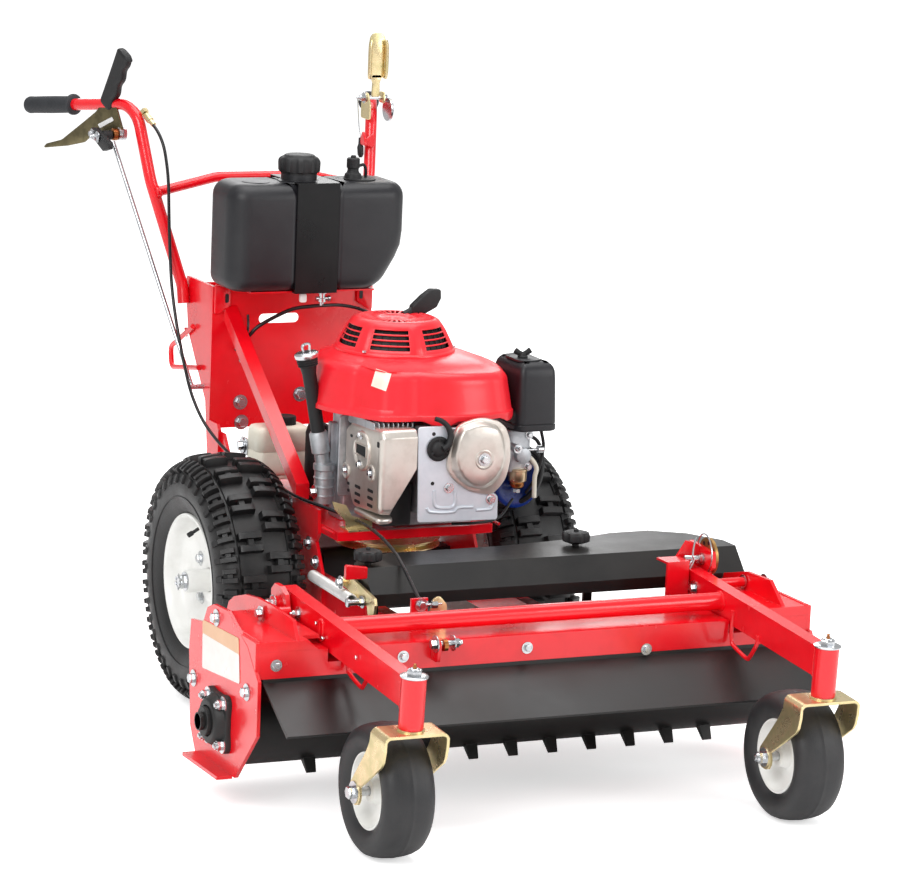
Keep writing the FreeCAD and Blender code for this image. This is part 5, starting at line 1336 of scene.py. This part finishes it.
box_parts = air_box()
lid = oblong((192, -228), (238, -148), 20, 6)
box_parts.append(shell([placed(lid, 636), placed(lid, 639.4), placed(inset(lid, 1.6), 640.4),
                        placed(inset(lid, 3.4), 639.4), placed(inset(lid, 14), 638.8)]))
piece("air_cleaner_box", box_parts, black_plastic, hides=["air_cleaner"], smooth=35)
wing = [turned([(0, 9), (3, 9), (4, 6.5), (9, 5)], (214, -188, 638.6), (0, 0, 1), 20)]
for s in (-1, 1):
    path = smooth_path([(214, -188, 644), (214 + s * 9, -188, 648), (214 + s * 15, -188, 652)], 8)
    wing.append(swept(path, circle(1, 10) * [2.4, 4.6], scale=np.linspace(1, 1.25, 8)))
piece("air_cleaner_wing_nut", wing, matt_plastic)
tell("air cleaner")

# %% [markdown]
# A cluster of small turned and cast parts. Each one is simple, and their
# different metals make the cluster rich. Hoses are circles carried along
# smooth paths that end inside their fittings.

# %% Carburettor, fuel bowl, filter can and hoses
carb = [slab(oblong((114, -218), (182, -164), 8), 446, 500, "z", 4),
        slab(oblong((180, -216), (226, -166), 10), 438, 515, "z", 4),
        turned([(0, 14), (14, 14), (15, 12)], (205, -216, 470), (0, -1, 0), 24),
        turned([(0, 7), (24, 7), (25, 5)], (187, -216, 486), (0, -1, 0), 14)]
piece("carburettor_body", carb, cast_alloy, hides=["carburettor"], smooth=35)
# Champagne zinc plate on the fuel bowl: a warm, soft gold.
brass = finish("champagne_zinc_plate", "#DCC3A2", "#CDB08A", metal=1.0, rough=0.3, grain_mm=0.8,
               relief=0.08)
bowl = [turned([(0, 14), (1, 16), (3, 17), (19, 17), (20.4, 18.4), (23, 18.4), (24, 17)],
               (205, -206, 420), (0, 0, 1), 36)]
piece("carburettor_bowl", bowl, brass)
cup = [turned([(-12, 6), (-11, 10), (-8, 12.4), (0, 13.4), (1, 13)], (205, -206, 420), (0, 0, 1),
              32)]
piece("carburettor_drain_cup", cup, copper)
drain = bolt((205, -206, 408), (0, 0, -1), 12, False)
drain.append(turned([(0, 2.6), (46, 2.6), (47, 7), (57, 7), (58, 5)], (188, -221, 479), (1, 0, 0),
                    16))
drain += nut((187, -241, 486), (0, -1, 0), 9, 2)
for z in (448, 505):
    drain += bolt((220, -216, z), (0, -1, 0), 8)
piece("carburettor_fasteners", drain, bright_zinc, smooth=35)
# Deep blue enamel on the end cover: glossy, nearly black where it turns away.
blue = finish("blue_enamel", "#0B2E80", "#0A2464", rough=0.3, coat=0.4, grain_mm=1.4, relief=0.05)
can = [turned([(0, 40), (2, 43.5), (10, 44), (12, 42.5), (13, 36), (11, 30)], (212, -180, 412),
              (0, -1, 0), 48)]
piece("blue_end_cover", can, blue)
hoses = []
for keys, r in (([(226, -196, 478), (246, -205, 462), (250, -208, 436), (240, -206, 404),
                  (222, -190, 380), (186, -160, 366)], 5),
                ([(226, -180, 500), (252, -186, 486), (262, -190, 446), (252, -188, 400),
                  (214, -178, 366), (168, -150, 358)], 3.5),
                ([(236, -230, 516), (246, -222, 480), (238, -214, 430), (226, -200, 396)], 3),
                ([(190, -222, 392), (150, -250, 366), (100, -262, 362), (60, -250, 360)], 2.4)):
    hoses.append(swept(smooth_path(keys, 40), circle(r, 10)))
piece("fuel_hoses", hoses, matt_plastic, smooth=50)
clear = [swept(smooth_path([(212, -218, 468), (223, -221, 463), (234, -222, 446), (232, -221, 428),
                            (233, -220, 392)], 30), circle(4.2, 12))]
piece("clear_fuel_hose", clear, milky_plastic, smooth=50)
print("engine pieces:", len(made))

# %% [markdown]
# The tube leans outwards from its boss. It is turned along its own axis, with
# rings for the grip at the top.

# %% Dipstick tube
stick = []
foot_, head_ = np.array([-123, -100, 442.0]), np.array([-162, -100, 641.0])
axis = head_ - foot_
length = np.linalg.norm(axis)
stick.append(turned([(0, 12), (30, 12.2), (34, 13.4), (40, 13.4), (44, 12.2), (length - 34, 12.4),
                     (length - 20, 15), (length - 6, 18.5), (length - 4, 20)], foot_, axis, 24))
for k in range(4):
    stick.append(turned([(0, 17.2 + k * 0.5), (1.2, 18.2 + k * 0.5), (2.4, 17.2 + k * 0.5)],
                        foot_ + axis * (1 - (19 - 4 * k) / length), axis, 24))
piece("dipstick_tube", stick, matt_plastic, hides=["oil_filler"])
cap_top = [turned([(-4, 20.4), (0, 21.6), (3, 21.6), (5, 19), (6, 10)], head_, axis, 32)]
ear = smooth_path([head_ + [-6, 0, 6], head_ + [-8, 0, 17], head_ + [4, 0, 20], head_ + [6, 0, 8]],
                  16)
cap_top.append(swept(ear, circle(1, 8) * [3.6, 2.2]))
piece("dipstick_cap", cap_top, bright_zinc)
collar = [turned([(-6, 15), (4, 16), (6, 13), (24, 13), (26, 16.5), (60, 16.5), (64, 14)],
                 foot_, axis, 24),
          turned([(0, 13), (24, 15)], (-134, -100, 436), (1, 0, 0), 24)]
piece("dipstick_boss", collar, cast_alloy)
tell("dipstick tube")

# %% [markdown]
# ## Tank, tower and controls
# The fuel tank is rotomoulded: thick soft corners, a slack grain, and a
# recess that takes the steel strap. We stack plan outlines upwards, with the
# rounding of floor and roof as shrinking loops, and pull the lower corner on
# the +x side in, because the real tank is narrower there.

# %% Fuel tank, cap and valve
def tank():
    """Plan loops from the floor to the roof: the +x side starts narrower
    and leans out to full width over the first 76 mm."""
    loops = []
    turn_ = np.linspace(0, math.pi / 2, 8)
    levels = [(693 + 24 * (1 - math.sin(t)), 24 * (1 - math.cos(t))) for t in turn_[::-1]]
    levels += [(z, 0.0) for z in (735, 752, 764, 774, 800, 850)]
    levels += [(891 - 28 * (1 - math.sin(t)), 28 * (1 - math.cos(t))) for t in turn_]
    for z, pull in levels:
        lean = np.clip((z - 700) / 72, 0, 1)
        far = 137 + 44 * lean - 3.5 * math.exp(-((z - 770) / 12) ** 2)
        plan = [(-168, 247), (-48, 247), (-43, 250.4), (42, 250.4), (47, 247), (far, 247),
                (far, 385), (47, 385), (42, 381.6), (-43, 381.6), (-48, 385), (-168, 385)]
        loops.append(placed(inset(rounded(plan, [40, 14, 3, 3, 14, 40, 40, 14, 3, 3, 14, 40], 7),
                                  pull), z))
    return [shell(loops)]


roof = [turned([(0, 24), (1.2, 26), (1.8, 24)], (-105, 300, 890.4), (0, 0, 1), 36),
        turned([(-1, 40), (1.6, 39), (3, 33), (15, 33), (16.5, 30.5), (19, 30.5)], (-20, 300, 891),
               (0, 0, 1), 48)]
piece("moulded_tank", tank() + roof, black_plastic, hides=["fuel_tank"], smooth=35)


cap_x, cap_y = -20, 300      # the filler neck's middle


def tank_cap():
    """Ten rounded flutes round the skirt and a domed, ringed top."""
    angle = once_round(160)
    wave = np.clip(np.cos(10 * angle) * 1.6, -1, 1)
    loops = []
    for z, r, depth in ((908.5, 35.6, 0.8), (910.5, 37.2, 1.6), (926, 37.6, 1.9), (930, 37.0, 1.8),
                        (933.5, 35.2, 1.2), (935.5, 32.5, 0.6), (937.5, 29, 0), (939.4, 27.5, 0),
                        (940.6, 24.5, 0), (940.8, 18, 0), (940.2, 8, 0)):
        ring = r + depth * wave
        loops.append(level_ring(cap_x, cap_y, z, ring, angle))
    seal = turned([(0, 33.6), (3, 34), (4, 33)], (cap_x, cap_y, 905.5), (0, 0, 1), 48)
    return [shell(loops), seal]


piece("fluted_cap", tank_cap(), matt_plastic, hides=["fuel_cap"])
valve = [turned([(0, 30), (2.4, 30), (3, 28)], (104, 306, 890.6), (0, 0, 1), 40),
         turned([(0, 17), (10, 15), (12, 12), (16, 10.5), (20, 10.5), (21, 12), (38, 12),
                 (39.5, 10), (40, 5), (43, 5), (44, 3.5)], (92, 310, 891.4), (0, 0, 1), 28)]
for k in range(6):
    a = k * math.pi / 3
    rib = [(92 + 12 * math.cos(a), 310 + 12 * math.sin(a), z) for z in (913, 928)]
    valve.append(swept(smooth_path(rib, 3), circle(1.3, 6)))
valve.append(swept(smooth_path([(104, 310, 916), (114, 311, 917), (119, 313, 906), (120, 316, 892)],
                               16), circle(3, 8)))
piece("tank_valve", valve, matt_plastic)

# Gloss black enamel on the tank strap: darker than the tank, with one clean
# highlight along each bend.
strap_black = finish("black_enamel", "#050507", "#0A0A0C", rough=0.3, drift=0.05, ior=1.4,
                     grain_mm=2.4, relief=0.06, edge_mm=1.5)
nodes["tank_strap"].data.materials[0] = strap_black
lugs = [slab(oblong((-27, 672), (-14, 688), 3, 3)[::-1], 258, 264, "y", 0.6, 1)]
piece("shelf_clip", lugs, white_coat, smooth=30)
tap = [turned([(0, 9), (3, 9), (4, 6), (12, 6), (13, 7.5), (19, 7.5), (20, 4), (26, 4)],
              (20, 268, 690), (0, 0, -1), 20),
       turned([(-12, 4), (12, 4)], (20, 268, 677), (1, 0, 0), 14),
       turned([(0, 6), (4, 6), (5, 4)], (32, 268, 677), (1, 0, 0), 14)]
piece("fuel_tap", tap, bright_zinc)
lines = [([(20, 268, 664), (8, 285, 660), (-29, 300, 651.6), (-84, 305, 625), (-103, 312, 605),
           (-110, 335, 585), (-112, 354, 571)], 3.6),
         ([(20, 266, 664), (60, 268, 663), (100, 262, 654), (130, 240, 636), (142, 205, 610),
           (140, 150, 585), (128, 88, 560), (112, 60, 546), (98, 46, 536)], 3.2),
         ([(-100, 330, 640), (-103, 320, 618), (-106, 322, 600)], 2.4)]
piece("fuel_lines", [swept(smooth_path(k, 44), circle(r, 10)) for k, r in lines], jacket,
      smooth=50)
print("tank faces:", len(made[-6].data.polygons))

# %% [markdown]
# The tower is folded plate in the CAD model. What it lacks are the bolts
# along its sides, the small folded tabs below the tank, and their slots,
# which are thin dark slabs of painted shade.

# %% Tower bolts, slotted fold bracket, welds
tower_bolts, tower_red, slots = [], [], []
for side in (-1, 1):
    for y, z in ((211, 362), (-121, 310), (-156, 283), (-32, 366)):
        tower_bolts += bolt((side * 154.2, y, z), (side, 0, 0), 13)
    tower_red.append(bead([(side * 160.2, 487, 592), (side * 160.2, 487, 575)], 3.6))
    fold = rounded([(side * 158, 694), (side * 128, 687), (side * 127, 654), (side * 150, 640),
                    (side * 158, 640)], [2, 4, 8, 8, 2], 4)
    tower_red.append(slab(fold[::side], 350, 356, "y", 0.8, 2))
    # Painted shade: the slot is not cut. A thin dark slab sits where its shade would show.
    slots.append(slab(rounded([(side * 138, 659), (side * 131, 661), (side * 131, 677),
                               (side * 138, 677)], 3.2, 5)[::side], 349.2, 350.4, "y", 0.1, 1))
for x, z in ((-99.6, 471.4), (-96.4, 433.5), (20.5, 482)):
    tower_bolts += bolt((x, 356.8, z), (0, -1, 0), 15)
tower_bolts += bolt((-102, 356.8, 551), (0, -1, 0), 8, False)
piece("tower_bolts", tower_bolts, bright_zinc, smooth=35)
piece("tower_folds", tower_red, red_coat)
piece("fold_slots_painted_shade", slots, matt_plastic, smooth=30)
tell("tower bolts")

# %% [markdown]
# A blow-moulded bottle has soft corners and a groove round its middle. Loops
# of one rounded plan, pulled in by different amounts, make it, and a knurled
# cap is a ring with a square-topped wave.

# %% Oil reservoir
def bottle():
    """Blow-moulded bottle: rounded plan, soft floor and roof, a mid groove."""
    plan = oblong((-164.5, 100.5), (-60.5, 164.5), 14, 6)
    steps_ = [(382, 9), (384, 4), (388, 1), (393, 0), (424, 0), (427, 2), (430, 0), (460, 0),
              (466, 1.5), (470, 5), (472, 11)]
    return [shell([placed(inset(plan, pull), z) for z, pull in steps_])]


piece("reservoir_bottle", bottle() + [slab(oblong((-154, 105), (-100, 155), 3, 3), 376, 383, "z", 1,
                                           1)], milky_plastic, hides=["oil_reservoir"])
angle = once_round(96)
teeth = np.clip(np.cos(24 * angle) * 2, -1, 1)
loops = [level_ring(-100, 135, z, r + d * teeth, angle)
         for z, r, d in ((470, 18.6, 0), (471, 19.2, 0.6), (485, 19.2, 0.6), (487.4, 18, 0.2),
                         (488, 15, 0), (486.6, 12, 0))]
piece("reservoir_cap", [shell(loops)], matt_plastic)
ear = oblong((150, 412), (184, 444), 7, 4)
piece("reservoir_ear", [slab(ear[::-1], -166.6, -163.6, "x", 0.6, 1)], bright_zinc,
      smooth=35)
piece("reservoir_bolt", bolt((-167, 172, 428), (-1, 0, 0), 15), bright_zinc, smooth=35)
tell("oil reservoir")

# %% [markdown]
# ## Handlebar fittings
# Hands touch these, so they carry soft shapes: rubber sleeves with a stop
# flange, a lever handle with finger waves, and a broad zinc-plated paddle.

# %% Grips
def hand_grip(side):
    """Turned along the bar: flange, fine ribs, a slight belly, a round end."""
    hand = np.array([side * 351.0, 852.0, 970.0])
    elbow = np.array([side * 240.0, 573.0, 1003.0])
    axis_ = (hand - elbow) / np.linalg.norm(hand - elbow)
    profile = [(0, 12), (0.5, 18.5), (2, 20), (6, 20), (7.5, 18.5), (8.5, 15.4)]
    for s in np.arange(11, 118, 4.0):
        belly = 15.6 + 0.8 * math.sin(math.pi * s / 130)
        profile += [(s, belly), (s + 1.0, belly - 0.5), (s + 2.2, belly - 0.5), (s + 3.2, belly)]
    profile += [(122, 16.3), (128, 16.3), (132, 15), (134, 11.5), (134.6, 5)]
    return [turned(profile, hand - axis_ * 130, axis_, 36)]


for side, word in sides:
    piece("ribbed_grip_" + word, hand_grip(side), grip_rubber, hides=["grip_" + word],
          smooth=50)
tell("grips")

# %% [markdown]
# The lever is drawn square at the origin and then swung about the upright, as
# it is on the bar. The grip's waves are a sine added to one side of an oblong
# section.

# %% Lever with handle, paddle and hub
pivot = np.array([-258.0, 598.0, 1003.0])
swing = math.radians(21.7)


def swung(shells_):
    """Shells drawn square at the origin, turned about the vertical and set on the hub."""
    c, s = math.cos(swing), math.sin(swing)
    return [(np.column_stack([c * p[:, 0] - s * p[:, 1], s * p[:, 0] + c * p[:, 1], p[:, 2]])
             + pivot, q) for p, q in shells_]


paddle = rounded([(222, -110), (210, -100), (167, -88), (103, -46), (72, -25), (50, -4), (17, -3),
                  (-3, -46), (-3, -63), (20, -69), (60, -67), (85, -73), (102, -86), (150, -98)],
                 [3, 5, 30, 30, 20, 6, 6, 14, 6, 12, 30, 20, 20, 30], 5)
piece("zinc_paddle", swung([slab(paddle, -2.0, 2.0, "x", 0.8, 2)]), olive_zinc,
      hides=["lever_right"], smooth=30)


def wave_grip():
    """A rounded oblong swept up the lever in the paddle's plane, pinched four
    times along the finger side."""
    path = smooth_path([(-271, 643, 992), (-268.5, 620, 1026), (-266, 595, 1063),
                        (-264, 571, 1099)], 56)
    ahead = np.gradient(path, axis=0)
    ahead /= np.linalg.norm(ahead, axis=1)[:, None]
    thick_ = np.array([math.cos(swing), math.sin(swing), 0])
    a = once_round(32)
    c, s_ = np.cos(a), np.sin(a)
    flat, deep = np.sign(c) * np.abs(c) ** 0.62, np.sign(s_) * np.abs(s_) ** 0.62
    loops = []
    for point, w, s in zip(path, ahead, np.linspace(0, 1, 56)):
        v = np.cross(w, thick_)
        v /= np.linalg.norm(v)
        waves = 2.0 * math.sin(2 * math.pi * (3.6 * s + 0.1)) * (s > 0.06)
        size = min(1.0, 0.86 + s * 5, 0.80 + (1 - s) * 6)
        front = np.where(s_ < 0, 17.6 + waves + 3.0 * (s > 0.93), 17.6)
        loops.append(point + (9.8 * size * flat)[:, None] * thick_
                     + (front * size * deep)[:, None] * v)
    return [shell(loops)]


piece("finger_grip", wave_grip(), matt_plastic, smooth=50)
hub = [turned([(0, 10), (1, 13), (7, 13.4), (8, 12), (9, 13.4), (15, 13.4), (16, 10)],
              (-263, 606, 944), (1, 0, 0), 28)]
hub += nut((-302, 606, 938), (-1, 0, 0), 12, 4) + bolt((-300, 640, 940), (-1, 0, 0), 10)
hub.append(turned([(0, 4), (30, 4)], (-303, 606, 940), (1, 0, 0.1), 12))
piece("lever_hub", hub, bright_zinc)
ring = [turned([(0, 10), (1, 11.6), (9, 11.6), (10, 10)], (-273.4, 606, 942.5), (1, 0, 0), 28)]
piece("hub_bush", ring, copper)
bracket = rounded([(652, 950), (627, 953), (551, 934), (549, 922), (583, 914), (650, 935)],
                  [5, 6, 5, 4, 10, 8], 5)
sleeve = turned([(0, 8), (1, 9), (17, 9), (18, 8)], (-292, 606, 941), (1, 0, 0), 24)
piece("lever_bracket", [slab(bracket, -300, -291, "x", 1.6, 2), sleeve], matt_plastic,
      smooth=35)
tag = rounded([(64.3, -48.0), (24.4, -29.5), (18.9, -36.0), (57.0, -54.3)], 1.5, 3)
# A blank white tag: matt, so it stays white at any angle.
tag_white = finish("blank_tag_film", "#EFEFEF", "#E6E6E6", rough=0.35)
piece("blank_tag", swung([slab(tag, -3.0, -2.1, "x", 0.3, 1)]), tag_white, smooth=30)
end_ = [turned([(0, 5.5), (6, 7), (18, 7), (19, 5), (30, 5), (31, 3.4)],
               (-226.6, 555, 985), (0.27, -0.78, -0.56), 18),
        turned([(-8, 8), (0, 8)], (-226.6, 556, 987), (0.27, -0.78, -0.56), 6)]
piece("cable_end", end_, yellow_zinc)
tell("lever")

# %% [markdown]
# The lever is a flat blade with its long edges rolled over. Two slabs and two
# swept edges show that better than one extruded outline.

# %% Clutch lever on the other bar
clutch_x = 241
blade = rounded([(clutch_x - 15, 1050), (clutch_x + 15, 1050), (clutch_x + 16, 1128),
                 (clutch_x + 8, 1136), (clutch_x - 8, 1136), (clutch_x - 16, 1128)],
                [4, 4, 14, 8, 8, 14], 6)
neck = rounded([(clutch_x - 8, 1014), (clutch_x + 8, 1014), (clutch_x + 7, 1040),
                (clutch_x + 12, 1056), (clutch_x - 12, 1056), (clutch_x - 7, 1040)],
               [3, 3, 10, 4, 4, 10], 5)
clutch = [slab(neck[::-1], 556, 562, "y", 0.8, 2), slab(blade[::-1], 556, 560, "y", 0.8, 2)]
for s in (-1, 1):
    side_path = smooth_path([(clutch_x + s * 15.5, 553, 1050), (clutch_x + s * 17, 551, 1062),
                             (clutch_x + s * 17, 551, 1108), (clutch_x + s * 14.5, 553, 1122)], 18)
    clutch.append(swept(side_path, circle(1, 12) * [3.6, 5.6], start=(1, 0, 0)))
clutch.append(slab(rounded([(535, 972), (576, 972), (576, 1000), (562, 1022), (548, 1022),
                            (535, 1000)], 5, 4), clutch_x - 22, clutch_x - 18, "x", 0.8, 1))
clutch.append(slab(rounded([(545, 1002), (572, 1002), (568, 1024), (550, 1024)], 5, 4),
                   clutch_x + 12.6, clutch_x + 16, "x", 0.8, 1))
piece("clutch_lever", clutch, yellow_zinc, hides=["lever_left"], smooth=35)
small = nut((clutch_x - 22, 560, 1012), (-1, 0, 0), 12, 4)
small += bolt((clutch_x + 16, 560, 1012), (1, 0, 0), 12)
small.append(turned([(-34, 4), (12, 4)], (clutch_x, 560, 1012), (1, 0, 0), 14))
small.append(turned([(0, 22), (3, 23.6), (5, 22), (6, 8)], (clutch_x + 22, 552, 990), (1, 0, 0),
                    36))
small.append(swept(smooth_path([(clutch_x - 38, 556, 1010), (clutch_x - 37, 553, 985),
                                (clutch_x - 36, 548, 955), (clutch_x - 34, 540, 930)], 24),
                   circle(1.1, 6)))
piece("clutch_lever_fittings", small, bright_zinc)
fin = rounded([(516, 925), (548, 925), (532, 955)], 4, 4)
piece("cable_fin", [slab(fin, clutch_x - 36, clutch_x - 32, "x", 0.8, 1),
                    slab(rounded([(clutch_x - 40, 928), (clutch_x - 10, 918), (clutch_x - 10, 950)],
                                 4, 4)[::-1], 531, 534, "y", 0.8, 1)], red_coat)
boot_ = [turned([(0, 3), (6, 6), (20, 6.4), (26, 4), (38, 3)], (clutch_x - 34, 541, 900),
                (-0.02, 0.1, 1), 16)]
piece("cable_boot", boot_, matt_plastic)
tell("clutch lever on the other bar")

# %% [markdown]
# A weld round a tube is a bead on a circle that faces the joint.

# %% Bar welds
bar_welds = []
for side in (-1, 1):
    at = np.array([side * 212.0, 512.0, 846.0])
    out = np.array([-side * 0.96, 0.05, 0.2])
    u, v, w = axes(out)
    spots = [at + 9.8 * (math.cos(a) * u + math.sin(a) * v) for a in once_round(24)]
    bar_welds.append(swept(spots, circle(2.2, 6), ring=True))
piece("bar_welds", bar_welds, red_coat, smooth=60)
tell("bar welds")

# %% [markdown]
# A pin through one of the disc's holes sets the working depth. The disc and
# pin are turned, and the hairpin and the ring are wire on smooth paths.

# %% Depth index: slotted disc, lock pin, hairpin and ring
disc_y, disc_z = -578, 355
disc = [turned([(0, 31.5), (0.6, 32.6), (5.4, 32.6), (6, 31.5)], (390.7, disc_y, disc_z), (1, 0, 0),
               64)]
# Yellow zinc plate that has aged: browner and duller than the forks.
aged_zinc = finish("aged_zinc_plate", "#B08A54", "#8C6C40", metal=0.85, rough=0.4, patch_mm=22,
                   grain_mm=0.8, relief=0.12)
piece("index_disc_plated", disc, aged_zinc, hides=["index_disc"], smooth=35)
# Painted shade: the disc's holes are not cut. Short dark plugs fill them where their shade would
# show.
holes_ = []
for k in range(9):
    a = math.radians(20 + 40 * k)
    spot = (390.2, disc_y + 24 * math.cos(a), disc_z + 24 * math.sin(a))
    holes_.append(turned([(0, 3.6), (7, 3.6)], spot, (1, 0, 0), 16))
piece("index_holes_painted_shade", holes_, matt_plastic)
pin = [turned([(0, 4.6), (1.5, 5.6), (38, 5.6), (44, 5)], (347, -578, 354), (1, 0, -0.08), 20)]
pin.append(turned([(0, 10.5), (2, 10.5), (3, 8), (9, 8), (10, 6)], (382.4, -578, 351), (-1, 0, 0),
                  24))
hair = [(366, -582, 390), (362, -583, 375), (360, -584, 359), (363, -584, 351), (352, -584, 331),
        (349, -584, 333), (357, -584, 347), (365, -583, 352)]
pin.append(swept(smooth_path(hair, 50), circle(1.7, 8)))
a = once_round(48)
loop_ = np.column_stack([np.full(48, 386.0), disc_y + 34 * np.cos(a), 360 + 34 * np.sin(a)])
pin.append(swept(loop_ + np.column_stack([4 * np.cos(a), 0 * a, 0 * a]), circle(1.4, 7), ring=True))
piece("lock_pin_and_ring", pin, bright_zinc)
tell("depth index")

# %% [markdown]
# The clutch cable ends at a small anchor on the hood, and a folded catch
# stands beside it.

# %% Cable catch and anchor fittings
catch = rounded([(-153, 268), (-127, 268), (-124, 316), (-138, 332), (-150, 326), (-156, 300)],
                [3, 3, 6, 6, 6, 6], 4)
piece("cable_catch", [slab(catch[::-1], -641, -636, "y", 0.9, 2)], yellow_zinc, smooth=35)
fit = bolt((-170.5, -638.6, 318), (0, -1, 0), 12)
fit += [turned([(0, 7), (12, 7), (13, 5)], (-170, -634, 318), (1, 0, 0), 14),
        turned([(0, 2), (34, 2)], (-168, -640, 318), (1, 0, 0.02), 8),
        turned([(0, 6.4), (10, 6.4)], (-153, -641, 318), (1, 0, 0), 6)]
piece("anchor_fittings", fit, bright_zinc, smooth=35)
print("all pieces:", len(made), "faces:", sum(len(o.data.polygons) for o in made))
